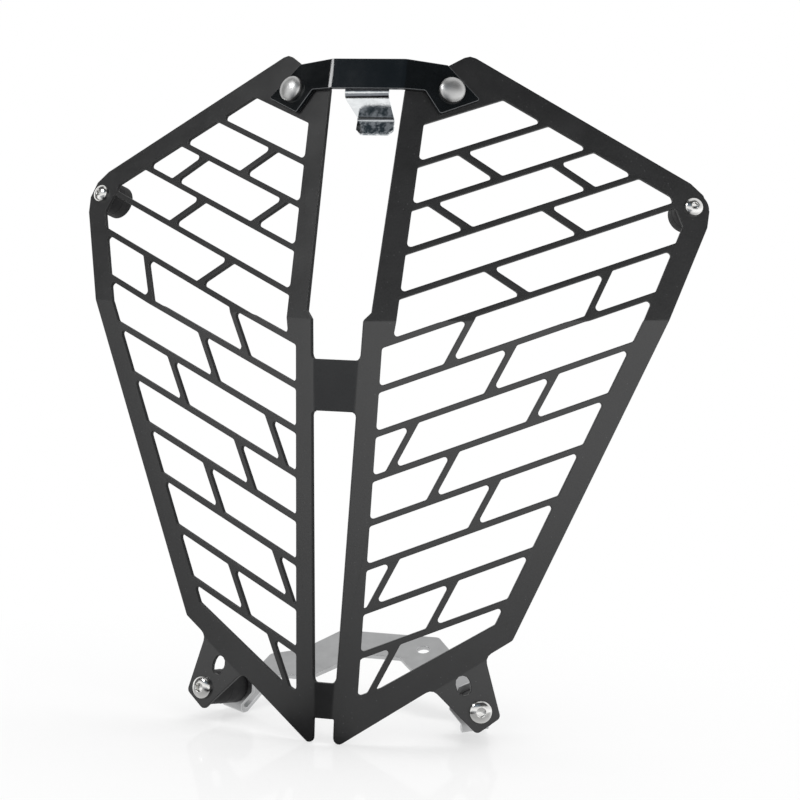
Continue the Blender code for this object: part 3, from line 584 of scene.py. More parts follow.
@dataclass(frozen=True)
class Axis:
    """Centre line of a round part: its back end, directions and length.

    Attributes:
        foot: point where the line leaves the part at the back.
        outward: unit vector along the line, towards the front of the guard.
        across: unit vector square to it, through a corner of the hexagon if there is one.
        length: distance from the foot to the front end.
    """

    foot: np.ndarray
    outward: np.ndarray
    across: np.ndarray
    length: float

    @classmethod
    def of_node(cls, node: str) -> "Axis":
        """Find the centre line of a round CAD node.

        The line goes through the mean of the node's distinct points, along the principal
        direction nearest to the front. The angle of a hexagon's corners is a sixth of the
        phase of the sum of radius ** 8 times exp(6 i angle) over those points.

        Args:
            node: name of the CAD node.

        Returns:
            The line, with its length taken from the node's own ends.
        """
        sides, weight = 6, 8
        points = node_points(node)
        centre = points.mean(axis=0)
        _, _, directions = np.linalg.svd(points - centre, full_matrices=False)
        front = np.array(FRONT) * (1.0 if centre[0] > 0.0 else -1.0, 1.0, 1.0)
        outward = directions[np.argmax(np.abs(directions @ front))]
        outward = outward * np.sign(outward @ front)
        level = np.cross(outward, (0.0, 0.0, 1.0))
        level /= np.linalg.norm(level)
        upward = np.cross(outward, level)
        reach = (points - centre) @ outward
        sideways = (points - centre) @ level + 1j * ((points - centre) @ upward)
        total = np.sum(np.abs(sideways / MM) ** weight * np.exp(1j * sides * np.angle(sideways)))
        turn = np.angle(total) / sides
        across = level * math.cos(turn) + upward * math.sin(turn)
        return cls(centre + outward * reach.min(), outward, across, float(np.ptp(reach)))

    def place(self, radius: np.ndarray, angle: np.ndarray, height: np.ndarray) -> np.ndarray:
        """Find points round the line.

        Args:
            radius: distances from the line.
            angle: angles from the across direction.
            height: distances along the line from its foot.

        Returns:
            The points, in an array of the same shape with three values for each.
        """
        second = np.cross(self.outward, self.across)
        return (self.foot + (radius * np.cos(angle))[..., None] * self.across
                + (radius * np.sin(angle))[..., None] * second
                + height[..., None] * self.outward)


def put_in_scene(name: str, data: bpy.types.ID) -> bpy.types.Object:
    """Make an object of a mesh, a lamp or a camera and link it to the scene.

    Args:
        name: name of the object.
        data: what it is made of.

    Returns:
        The object.
    """
    item = bpy.data.objects.new(name, data)
    bpy.context.scene.collection.objects.link(item)
    return item


def smooth(mesh: bpy.types.Mesh, sharp: float) -> None:
    """Shade a mesh smooth, except where its faces turn further than an angle."""
    mesh.polygons.foreach_set("use_smooth", np.ones(len(mesh.polygons), bool))
    mesh.set_sharp_from_angle(angle=sharp)


def ride_as(item: bpy.types.Object, slot: Slot, *nodes: str) -> bpy.types.Object:
    """Fix a piece to the guard and let it stand for CAD nodes, whose own meshes it hides.

    Args:
        item: the piece.
        slot: its material slot in the record; not used.
        nodes: the CAD nodes that it stands for, if any.

    Returns:
        The piece.
    """
    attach(item, BODY)
    if nodes:
        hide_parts(*nodes)
    return item


def angles_round(columns: int) -> np.ndarray:
    """Angle of each column of a turned grid, as one row."""
    return 2.0 * np.pi * np.arange(columns)[None, :] / columns


def grid_quads(here: np.ndarray, closed: bool = False) -> np.ndarray:
    """Number the quads of a grid whose last column joins its first.

    Args:
        here: number of the point in each row and column.
        closed: whether the last row joins the first too.

    Returns:
        Four point numbers for each quad, row by row.
    """
    grid = np.vstack((here, here[:1])) if closed else here
    beside = np.roll(grid, -1, axis=1)
    return np.stack((grid[:-1], beside[:-1], beside[1:], grid[1:]), axis=-1).reshape(-1, 4)


def revolved(profile: np.ndarray, columns: int = COLUMNS) -> Arrays:
    """Repeat rows of (radius, height) over the columns of a turned grid."""
    shape = (len(profile), columns)
    return np.broadcast_to(profile[:, :1], shape), np.broadcast_to(profile[:, 1:], shape)


def turned_piece(name: str, axis: Axis, radius: np.ndarray, height: np.ndarray,
                 finish: Finish, ring: bool = False) -> bpy.types.Object:
    """Make a closed skin round an axis.

    Row r and column c hold the point at radius[r, c], angle 2 pi c / columns and
    height[r, c]. Rows run from the back of the piece up its outside to its front. A solid
    piece closes in a point at both ends, and a ring joins its last row to its first.

    Args:
        name: name of the new piece.
        axis: the centre line.
        radius: distance from the line, rows by columns.
        height: distance along the line from its foot, rows by columns.
        finish: what the surface is made of.
        ring: whether the profile is a closed loop round a bore.

    Returns:
        The piece, in place.
    """
    rows, columns = radius.shape
    angle = np.broadcast_to(angles_round(columns), radius.shape)
    points = axis.place(radius, angle, height).reshape(-1, 3)
    here = np.arange(rows * columns).reshape(rows, columns)
    quads = grid_quads(here, ring)
    fans = np.empty((0, 3), int)
    if not ring:
        beside = np.roll(here, -1, axis=1)
        low, high = np.full(columns, len(points)), np.full(columns, len(points) + 1)
        ends = np.array((height[0].mean(), height[-1].mean()))
        points = np.vstack((points, axis.place(np.zeros(2), np.zeros(2), ends)))
        fans = np.vstack((np.stack((beside[0], here[0], low), axis=-1),
                          np.stack((here[-1], beside[-1], high), axis=-1)))
    mesh = bpy.data.meshes.new(name)
    mesh.from_pydata(points.tolist(), [], quads.tolist() + fans.tolist())
    wrap_round(mesh, rows, columns, len(quads), len(fans))
    smooth(mesh, TURNED_SHARP)
    mesh.materials.append(BOOK.of(finish))
    return put_in_scene(name, mesh)


def wrap_round(mesh: bpy.types.Mesh, rows: int, columns: int, quads: int, fans: int) -> None:
    """Give a turned skin its map: U once round the axis, V once along the profile.

    Args:
        mesh: the skin, its quads first and the fans of its ends after them.
        rows: rows of points.
        columns: columns of points.
        quads: number of quads.
        fans: number of triangles at the ends.
    """
    index = np.arange(quads)
    across, row = index % columns, index // columns
    u = np.stack((across, across + 1, across + 1, across), axis=-1) / columns
    v = np.stack((row, row, row + 1, row + 1), axis=-1) / rows
    turn = np.arange(fans // 2) / columns
    zeros, ones = np.zeros(fans // 2), np.ones(fans // 2)
    low = np.stack((turn + 1.0 / columns, zeros, turn, zeros, turn, zeros), axis=-1)
    high = np.stack((turn, ones, turn + 1.0 / columns, ones, turn, ones), axis=-1)
    flat = np.concatenate([part.reshape(-1) for part in (np.stack((u, v), axis=-1), low, high)])
    mesh.uv_layers.new(name="round").data.foreach_set("uv", flat)


def hexagon(angle: np.ndarray, across_flats: float) -> np.ndarray:
    """Radius of a hexagon: half its width over cos of the angle to its nearest side's middle.

    Args:
        angle: angles, 0 at a corner.
        across_flats: the hexagon's width.

    Returns:
        The radius at each angle.
    """
    from_side = np.mod(angle, np.pi / 3.0) - np.pi / 6.0
    return 0.5 * across_flats / np.cos(from_side)


def quarter(centre: Span, size: float, start: float, stop: float, steps: int = 4) -> np.ndarray:
    """Round off a profile's corner: centre plus size times cos and sin of the angle.

    Args:
        centre: radius and height of the arc's centre.
        size: radius of the arc.
        start: angle in degrees where it starts.
        stop: angle in degrees where it stops.
        steps: number of straight steps in it.

    Returns:
        Rows of (radius, height).
    """
    angle = np.radians(np.linspace(start, stop, steps + 1))
    return np.stack((centre[0] + size * np.cos(angle), centre[1] + size * np.sin(angle)), axis=-1)


# Fasteners

@dataclass(frozen=True)
class HexSocket:
    """Hexagon socket in a screw's crown.

    Attributes:
        width: width across its flats.
        chamfer: how far its round mouth reaches past the corners.
        depth: depth of its floor below the top, as a share of the head's height.
        lead: depths at which the hexagon starts and is clear of the chamfer.
        bevel: height of the bevel round its floor.
        taper: share of the hexagon's size at those two depths, above the bevel and below.
        drill: radii of the drilled cone, as shares of the least radius.
        drill_depth: depth that the cone would have at its middle.
    """

    width: float
    chamfer: float = 0.12 * MM
    depth: float = 0.62
    lead: Span = (0.14 * MM, 0.20 * MM)
    bevel: float = 0.10 * MM
    taper: tuple[float, ...] = (1.0, 0.995, 0.995, 0.965)
    drill: Span = (0.6, 0.25)
    drill_depth: float = 0.35 * MM

    def mouth(self) -> float:
        """Radius of the round mouth."""
        return 0.5 * self.width / math.cos(math.pi / 6.0) + self.chamfer

    def rows(self, angle: np.ndarray, top: float, floor: float) -> Arrays:
        """Rows from the mouth down the hexagon and into the drilled cone.

        Args:
            angle: angle of each column.
            top: height of the mouth.
            floor: height of the floor.

        Returns:
            Radius and height, rows by columns.
        """
        flats = hexagon(angle, self.width)
        cone = np.array(self.drill)[:, None]
        radius = np.vstack((flats * np.array(self.taper)[:, None],
                            flats.min() * cone * np.ones_like(angle)))
        depths = (top - self.lead[0], top - self.lead[1], floor + self.bevel, floor)
        height = np.vstack((np.array(depths)[:, None], floor - (1.0 - cone) * self.drill_depth))
        return radius, np.broadcast_to(height, radius.shape)


@dataclass
class Screw:
    """Domed or button-head screw with a rolled thread.

    Attributes:
        node: the CAD node that it stands for.
        head: diameter and height of the head.
        shank: diameter of the shank.
        pitch: pitch of the thread.
        threaded: length of the thread from the tip.
        socket: the hexagon socket, or None.
        take_up: how far the head reaches down to close its clearance over the sheet.
        rows_a_turn: rows of points in one turn of the thread.
        thread_depth: depth of the thread as a share of the pitch.
        flank: slope of the thread's wave and what is cut off its crest.
        plain: least length without thread, below the head, and its rows.
        tip: how much less the radius is at the tip.
        edge: share of the head's height below the crown.
        fillet: radius round the head's underside.
        crown: angle from the middle at which a closed crown starts, and its rows.
    """

    node: str
    head: Span
    shank: float
    pitch: float
    threaded: float
    socket: HexSocket | None = None
    finish: Finish = STEEL
    take_up: float = CLEARANCE
    rows_a_turn: float = 9.0
    thread_depth: float = 0.58
    flank: Span = (1.25, 0.12)
    plain: tuple[float, int] = (0.5 * MM, 4)
    tip: float = 0.75 * MM
    edge: float = 0.25
    fillet: float = 0.18 * MM
    crown: tuple[float, int] = (0.02, 16)

    def build(self) -> bpy.types.Object:
        """Tip, thread, shank, head and socket as one skin, with the surface of each in turn.

        Returns:
            The piece.
        """
        axis = Axis.of_node(self.node)
        angle = angles_round(COLUMNS)
        parts = (self.shank_rows(axis.length, angle), self.head_rows(axis.length, angle))
        radius, height = (np.vstack(rows) for rows in zip(*parts))
        item = turned_piece(f"{self.node}_turned", axis, radius, height, self.finish)
        return ride_as(item, self.finish.slot, self.node)

    def shank_rows(self, length: float, angle: np.ndarray) -> Arrays:
        """Rows from the tip to the underside of the head.

        The thread's flank is a triangle wave of height / pitch - angle / 2 pi, cut flat at
        its crest and root, and it fades in over the tip and out towards the shank. The
        tip is a cone.

        Args:
            length: whole length of the screw.
            angle: angle of each column.

        Returns:
            Radius and height, rows by columns.
        """
        end = length - self.head[1] - self.take_up
        plain, count = self.plain
        thread_end = min(self.threaded, end - plain)
        rise = np.arange(0.0, thread_end, self.pitch / self.rows_a_turn)
        rise = np.concatenate((rise, np.linspace(thread_end, end, count)))[:, None]
        phase = np.mod(rise / self.pitch - angle / (2.0 * np.pi), 1.0)
        slope, crest = self.flank
        flank = np.clip(np.abs(2.0 * phase - 1.0) * slope - crest, 0.0, 1.0)
        fade = np.clip((thread_end - rise) / self.pitch, 0.0, 1.0)
        outer = 0.5 * self.shank - self.thread_depth * self.pitch * flank * fade
        cone = 0.5 * self.shank - self.tip + rise
        return np.minimum(outer, cone), np.broadcast_to(rise, outer.shape)

    def head_rows(self, length: float, angle: np.ndarray) -> Arrays:
        """Rows from the head's underside over its crown, and down into the socket.

        The crown is a quarter ellipse: radius R sin a, height edge + rest cos a.

        Args:
            length: whole length of the screw.
            angle: angle of each column.

        Returns:
            Radius and height, rows by columns.
        """
        radius, rise = 0.5 * self.head[0], self.head[1]
        under = length - rise - self.take_up
        edge = self.edge * rise
        rim = quarter((radius - self.fillet, under + self.fillet), self.fillet, -90.0, 0.0)
        start, count = self.crown
        if self.socket is not None:
            start = math.asin(self.socket.mouth() / radius)
        lean = np.linspace(0.5 * math.pi, start, count)
        crown = np.stack((radius * np.sin(lean),
                          length - rise + edge + (rise - edge) * np.cos(lean)), axis=-1)
        rows = revolved(np.vstack(([(0.5 * self.shank, under)], rim, crown)))
        if self.socket is None:
            return rows
        hollow = self.socket.rows(angle, crown[-1, 1], length - self.socket.depth * rise)
        return tuple(np.vstack(pair) for pair in zip(rows, hollow))


@dataclass(frozen=True)
class Seam:
    """Moulding seam round a rubber part: a bell of height h exp(-(x / w) ** 2).

    Attributes:
        height: h, how far it stands out.
        width: w, half its width.
        reach: distance from its middle where the rows over it end.
        count: number of those rows.
    """

    height: float = 0.12 * MM
    width: float = 0.22 * MM
    reach: float = 0.6 * MM
    count: int = 9

    def belt(self, radius: float, middle: float) -> np.ndarray:
        """Lay the seam round a barrel.

        Args:
            radius: radius of the barrel.
            middle: height of the seam.

        Returns:
            Rows of (radius, height).
        """
        offset = np.linspace(-1.0, 1.0, self.count) * self.reach
        bell = self.height * np.exp(-(offset / self.width) ** 2)
        return np.stack((radius + bell, middle + offset), axis=-1)


@dataclass
class Ring:
    """Washer or spacer with rounded edges.

    Attributes:
        node: the CAD node that it stands for.
        outer: outer diameter.
        inner: diameter of the bore.
        fillet: radius of its edges.
        finish: what it is made of.
        take_up: how far its front, and its back if both is set, reach to close clearances.
        both: whether its back reaches out too.
        seam: moulding seam round its middle, or None.
    """

    node: str
    outer: float
    inner: float
    fillet: float
    finish: Finish
    take_up: float = CLEARANCE
    both: bool = False
    seam: Seam | None = None

    def build(self) -> bpy.types.Object:
        """A closed rounded rectangle turned about the axis, with the seam on its outside.

        Returns:
            The piece.
        """
        axis = Axis.of_node(self.node)
        low = -self.take_up if self.both else 0.0
        high = axis.length + self.take_up
        inner, outer, fillet = 0.5 * self.inner, 0.5 * self.outer, self.fillet
        belt = self.seam.belt(outer, 0.5 * (low + high)) if self.seam else np.empty((0, 2))
        profile = np.vstack((
            quarter((inner + fillet, low + fillet), fillet, 180.0, 270.0),
            quarter((outer - fillet, low + fillet), fillet, -90.0, 0.0),
            belt,
            quarter((outer - fillet, high - fillet), fillet, 0.0, 90.0),
            quarter((inner + fillet, high - fillet), fillet, 90.0, 180.0)))
        item = turned_piece(f"{self.node}_turned", axis, *revolved(profile), self.finish, ring=True)
        return ride_as(item, self.finish.slot, self.node)


@dataclass
class Nut:
    """Hexagon nut with its corners chamfered at both ends.

    Attributes:
        node: the CAD node that it stands for.
        width: width across its flats.
        bore: diameter of its hole.
        take_up: how far its front reaches to close its clearance.
        face: radius of the flat end as a share of the width.
        chamfer: angle of the cone that cuts the corners.
        chamfer_depth: depth over which its rows lie close.
        chamfer_rows: number of those rows.
        lip: size of the bevel round the hole.
    """

    node: str
    width: float
    bore: float
    take_up: float = CLEARANCE
    face: float = 0.475
    chamfer: float = math.radians(30.0)
    chamfer_depth: float = 0.7 * MM
    chamfer_rows: int = 9
    lip: float = 0.35 * MM

    def build(self) -> bpy.types.Object:
        """Outer radius is the lesser of the hexagon and the cone from each end.

        Returns:
            The piece.
        """
        axis = Axis.of_node(self.node)
        high = axis.length + self.take_up
        ramp = np.linspace(0.0, self.chamfer_depth, self.chamfer_rows)
        ramp = np.concatenate((ramp, [0.5 * high]))
        rise = np.concatenate((ramp, high - ramp[-2::-1]))[:, None]
        cone = self.face * self.width + np.minimum(rise, high - rise) / math.tan(self.chamfer)
        outside = np.minimum(hexagon(angles_round(COLUMNS), self.width), cone)
        wall = 0.5 * self.bore
        mouth = wall + self.lip
        inside = revolved(np.array(((mouth, high), (wall, high - self.lip), (wall, self.lip),
                                    (mouth, 0.0))))
        radius = np.vstack((outside, inside[0]))
        height = np.vstack((np.broadcast_to(rise, outside.shape), inside[1]))
        item = turned_piece(f"{self.node}_cut", axis, radius, height, ZINC_TURNED, ring=True)
        return ride_as(item, ZINC_TURNED.slot, self.node)


@dataclass
class Buffer:
    """Moulded rubber buffer: a blunt back, a seam and a pocket for its insert.

    Attributes:
        node: the CAD node that it stands for.
        diameter: diameter of the barrel.
        pocket: diameter and depth of the pocket.
        fillet: radius round its back.
        fillet_steps: straight steps in that round.
        front_fillet: radius round its front.
        mouth: size of the bevel round the pocket.
        seam: the moulding seam.
        dimple: radius and depth of the hollow in its back.
        middle: share of the hollow's radius where it starts, and its rows.
        floor_hole: radius that the pocket's floor leaves to the closing point.
        take_up: how far its front reaches to close its clearance.
        columns: columns of points round it.
    """

    node: str
    diameter: float
    pocket: Span
    fillet: float = 1.2 * MM
    fillet_steps: int = 6
    front_fillet: float = 0.6 * MM
    mouth: float = 0.2 * MM
    seam: Seam = Seam(width=0.25 * MM, reach=0.7 * MM)
    dimple: Span = (2.2 * MM, 0.5 * MM)
    middle: tuple[float, int] = (0.02, 7)
    floor_hole: float = 0.1 * MM
    take_up: float = CLEARANCE
    columns: int = 96

    def build(self) -> bpy.types.Object:
        """Back dimple, rounded edge, barrel with a seam, front face and pocket, in turn.

        The dimple's height is its depth times (1 + cos(pi r / R)) / 2.

        Returns:
            The piece.
        """
        axis = Axis.of_node(self.node)
        radius, high = 0.5 * self.diameter, axis.length + self.take_up
        spot, sunk = self.dimple
        start, count = self.middle
        reach = np.linspace(start, 1.0, count) * spot
        hollow = np.stack((reach, sunk * (0.5 + 0.5 * np.cos(np.pi * reach / spot))), axis=-1)
        wall, floor = 0.5 * self.pocket[0], high - self.pocket[1]
        front = self.front_fillet
        profile = np.vstack((
            hollow,
            quarter((radius - self.fillet, self.fillet), self.fillet, -90.0, 0.0,
                    self.fillet_steps),
            self.seam.belt(radius, 0.5 * high),
            quarter((radius - front, high - front), front, 0.0, 90.0),
            [(wall + self.mouth, high), (wall, high - self.mouth), (wall, floor),
             (self.floor_hole, floor)]))
        item = turned_piece(f"{self.node}_moulded", axis, *revolved(profile, self.columns), RUBBER)
        return ride_as(item, Slot.RUBBER, self.node)


# Sheet pieces

@dataclass
class CutSheet:
    """Laser-cut and folded sheet piece with its sharp edges broken.

    Attributes:
        node: the CAD node whose shape it takes.
        face: finish of its faces.
        edge: finish of the broken edges, where the coat is thin or the cut is bright; on the enamel
            its pale colour is also a painted highlight line.
        break_width: width of the broken edge.
        wall: finish of the cut walls between them, or None for that of the faces; the grille's is a
            darker copy of the coat, painted shade inside the holes.
        least_divisor: bound on the mitre's divisor, so that a sliver throws no point far.
        steps: straight steps in the round of an edge.
    """

    node: str
    face: Finish
    edge: Finish
    break_width: float = 0.28 * MM
    wall: Finish | None = None
    least_divisor: float = 0.35
    steps: int = 3

    def build(self) -> bpy.types.Object:
        """Merge the node's loose triangles and carry a rounded profile along each rim.

        Returns:
            The piece.
        """
        points, faces, is_face, strips = self.rounded(*self.merged())
        mesh = bpy.data.meshes.new(f"{self.node}_sheet")
        mesh.from_pydata(points.tolist(), [], faces.tolist() + strips.tolist())
        for finish in (self.face, self.edge, self.wall or self.face):
            mesh.materials.append(BOOK.of(finish))
        # Faces take the first finish, broken edges the second and cut walls the third; on the
        # enamel the edge finish is a painted highlight and on the grille the wall finish is painted
        # shade.
        finish_index = np.concatenate((np.where(is_face, 0, 2), np.ones(len(strips))))
        mesh.polygons.foreach_set("material_index", finish_index.astype(np.int32))
        smooth(mesh, SHARP)
        item = put_in_scene(f"{self.node}_sheet", mesh)
        item.modifiers.new("flat_faces", "WEIGHTED_NORMAL").keep_sharp = True
        return ride_as(item, self.face.slot, self.node)

    def merged(self) -> Arrays:
        """Join the node's loose triangles at the points that they share.

        Returns:
            The points, each once, and the triangles over them.
        """
        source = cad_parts[self.node].data
        source.calc_loop_triangles()
        points = column(source.vertices, "co")
        corners = column(source.loop_triangles, "vertices", kind=int)
        _, first, owner = np.unique(np.round(points, DECIMALS), axis=0,
                                    return_index=True, return_inverse=True)
        faces = owner.reshape(-1)[corners]
        whole = (faces != np.roll(faces, 1, axis=1)).all(axis=1)
        return points[first], faces[whole]

    def rounded(self, points: np.ndarray, faces: np.ndarray
                ) -> tuple[np.ndarray, np.ndarray, np.ndarray, np.ndarray]:
        """Replace the sharp rims of both sheet faces by a quarter round.

        At a rim point v the profile at angle t is c - m cos t + w n sin t. Here n is the
        mean normal of the face there, m = -w (a + b) / (1 + a . b) is the mitre of the two
        wall normals a and b, with its divisor held above a bound, w is the width and
        c = v + m - w n. At t = 0 it lies on the wall and at t = 90 degrees on the face.

        Args:
            points: points of the closed sheet.
            faces: its triangles.

        Returns:
            The points with the profiles added, the triangles moved onto their ends,
            whether each lies on a sheet face, and the quads of the round.
        """
        corner = points[faces]
        cross = np.cross(corner[:, 1] - corner[:, 0], corner[:, 2] - corner[:, 0])
        area = np.linalg.norm(cross, axis=1)
        normal = cross / area[:, None]
        start, end = faces.reshape(-1), np.roll(faces, -1, axis=1).reshape(-1)
        key = np.minimum(start, end) * len(points) + np.maximum(start, end)
        pair = np.argsort(key, kind="stable").reshape(-1, 2)
        left, right = pair[:, 0] // 3, pair[:, 1] // 3
        sharp = (normal[left] * normal[right]).sum(axis=1) < math.cos(SHARP)
        group = self.groups(len(faces), left[~sharp], right[~sharp])
        largest = np.argsort(np.bincount(group, weights=area, minlength=len(faces)))[-2:]
        is_face = np.isin(group, largest)
        other = np.empty(len(start), int)
        other[pair[:, 0]], other[pair[:, 1]] = right, left
        rim = np.flatnonzero(np.repeat(is_face, 3) & ~is_face[other])
        before, after = start[rim], end[rim]
        count = len(points)
        leaving, arriving = np.zeros((count, 3)), np.zeros((count, 3))
        level = np.zeros((count, 3))
        leaving[before], arriving[after] = normal[other[rim]], normal[other[rim]]
        np.add.at(level, before, normal[rim // 3])
        np.add.at(level, after, normal[rim // 3])
        ring = np.unique(before)
        upward = level[ring] / np.linalg.norm(level[ring], axis=1)[:, None]
        a, b = leaving[ring], arriving[ring]
        width = self.break_width
        divisor = np.maximum(1.0 + (a * b).sum(axis=1), self.least_divisor)
        mitre = -width * (a + b) / divisor[:, None]
        centre = points[ring] + mitre - width * upward
        steps = self.steps
        angle = 0.5 * math.pi * np.arange(steps + 1)[:, None, None] / steps
        arc = centre - mitre * np.cos(angle) + width * upward * np.sin(angle)
        row = np.full((steps + 1, count), -1)
        row[:steps, ring] = count + np.arange(steps * len(ring)).reshape(steps, -1)
        row[steps, ring] = ring
        grown = np.vstack((points, arc[:steps].reshape(-1, 3)))
        grown[ring] = arc[steps]
        walls = np.where(row[0][faces] >= 0, row[0][faces], faces)
        moved = np.where(is_face[:, None], faces, walls)
        quads = np.stack((row[1:][:, after], row[1:][:, before],
                          row[:-1][:, before], row[:-1][:, after]), axis=-1)
        return grown, moved, is_face, quads.reshape(-1, 4)

    @staticmethod
    def groups(count: int, first: np.ndarray, second: np.ndarray) -> np.ndarray:
        """Number the sets of faces that smooth edges join.

        Args:
            count: number of faces.
            first: one face of each smooth edge.
            second: the other face of each.

        Returns:
            For each face, the lowest face number in its set.
        """
        label = np.arange(count)
        while True:
            lowest = np.minimum(label[first], label[second])
            lower = label.copy()
            np.minimum.at(lower, first, lowest)
            np.minimum.at(lower, second, lowest)
            lower = lower[lower]
            if (lower == label).all():
                return label
            label = lower


# Sub-assemblies

@dataclass
class Grille:
    """The pierced and folded sheet."""

    sheet: CutSheet = field(default_factory=lambda: CutSheet("grille", COAT, COAT_EDGE,
                                                             wall=COAT_WALL_SHADE))

    def build(self) -> list[bpy.types.Object]:
        """Dress the sheet."""
        return [self.sheet.build()]


@dataclass
class TopBracket:
    """Glossy strip across the top of the slot, with the zinc hook clip behind it.

    Attributes:
        strip: the bracket's sheet.
        clip: the hook clip's sheet.
        weld_half: half the distance between the two spot welds on the clip's leg.
        weld: diameter of a weld and the height of its ring.
        weld_root: how deep a weld reaches into the leg.
        weld_rows: rows of points on the root and over the weld.
        weld_ends: shares of the radius where those rows start and end.
        weld_foot: height of the root's rows as a share of its depth.
        weld_columns: columns of points round it.
        squarely_back: least Y of the normals on the leg's back face.
    """

    strip: CutSheet = field(default_factory=lambda: CutSheet("top_bracket", GLOSS, GLOSS_EDGE_HIGHLIGHT))
    clip: CutSheet = field(default_factory=lambda: CutSheet("hook_clip", BRIGHT_ZINC, BRIGHT_EDGE,
                                                            break_width=0.22 * MM))
    weld_half: float = 5.6 * MM
    weld: Span = (4.6 * MM, 0.10 * MM)
    weld_root: float = 0.4 * MM
    weld_rows: tuple[int, int] = (5, 14)
    weld_ends: Span = (0.05, 0.02)
    weld_foot: float = 0.25
    weld_columns: int = 48
    squarely_back: float = 0.93

    def build(self) -> list[bpy.types.Object]:
        """Dress both sheets and add the spot welds."""
        return [self.strip.build(), self.clip.build(), self.weld_mark(Side.RIGHT),
                self.weld_mark(Side.LEFT)]

    def leg_back(self) -> Arrays:
        """Find the middle and direction of the clip leg's back face.

        Returns:
            The mean centre of the triangles that face back, and their mean normal.
        """
        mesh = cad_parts[self.clip.node].data
        mesh.calc_loop_triangles()
        triangles = mesh.loop_triangles
        corners = column(triangles, "vertices", kind=int)
        middle = column(mesh.vertices, "co")[corners].mean(axis=1)
        normal = column(triangles, "normal")
        back = normal[:, 1] > self.squarely_back
        weight = column(triangles, "area", 1)[back]
        facing = (normal[back] * weight).sum(axis=0)
        return ((middle[back] * weight).sum(axis=0) / weight.sum(),
                facing / np.linalg.norm(facing))

    def weld_mark(self, side: Side) -> bpy.types.Object:
        """Mark of a spot weld: a ring and a button, of height h (1 + cos(3 pi r / R)) / 2.

        Args:
            side: which of the two welds.

        Returns:
            The mark, sunk a little into the leg so that its rim closes on it.
        """
        middle, facing = self.leg_back()
        sign = 1.0 if side is Side.RIGHT else -1.0
        centre = np.array((sign * self.weld_half, middle[1], middle[2]))
        radius, height = 0.5 * self.weld[0], self.weld[1]
        root = self.weld_root
        axis = Axis(centre - facing * root, facing, np.array((1.0, 0.0, 0.0)), root)
        below, above = self.weld_rows
        reach = radius * np.concatenate((np.linspace(self.weld_ends[0], 1.0, below),
                                         np.linspace(1.0, self.weld_ends[1], above)))
        wave = root + 0.5 * height * (1.0 + np.cos(3.0 * np.pi * reach / radius))
        rise = np.where(np.arange(len(reach)) < below, self.weld_foot * root, wave)
        item = turned_piece(f"spot_weld_{side.value}", axis,
                            *revolved(np.stack((reach, rise), axis=-1), self.weld_columns),
                            ZINC_TURNED)
        return ride_as(item, Slot.ZINC)


@dataclass
class LowerBracket:
    """Sloping zinc plate with two mounting holes."""

    plate: CutSheet = field(default_factory=lambda: CutSheet("lower_bracket", SATIN_ZINC,
                                                             SATIN_EDGE, break_width=0.3 * MM))

    def build(self) -> list[bpy.types.Object]:
        """Dress the plate."""
        return [self.plate.build()]


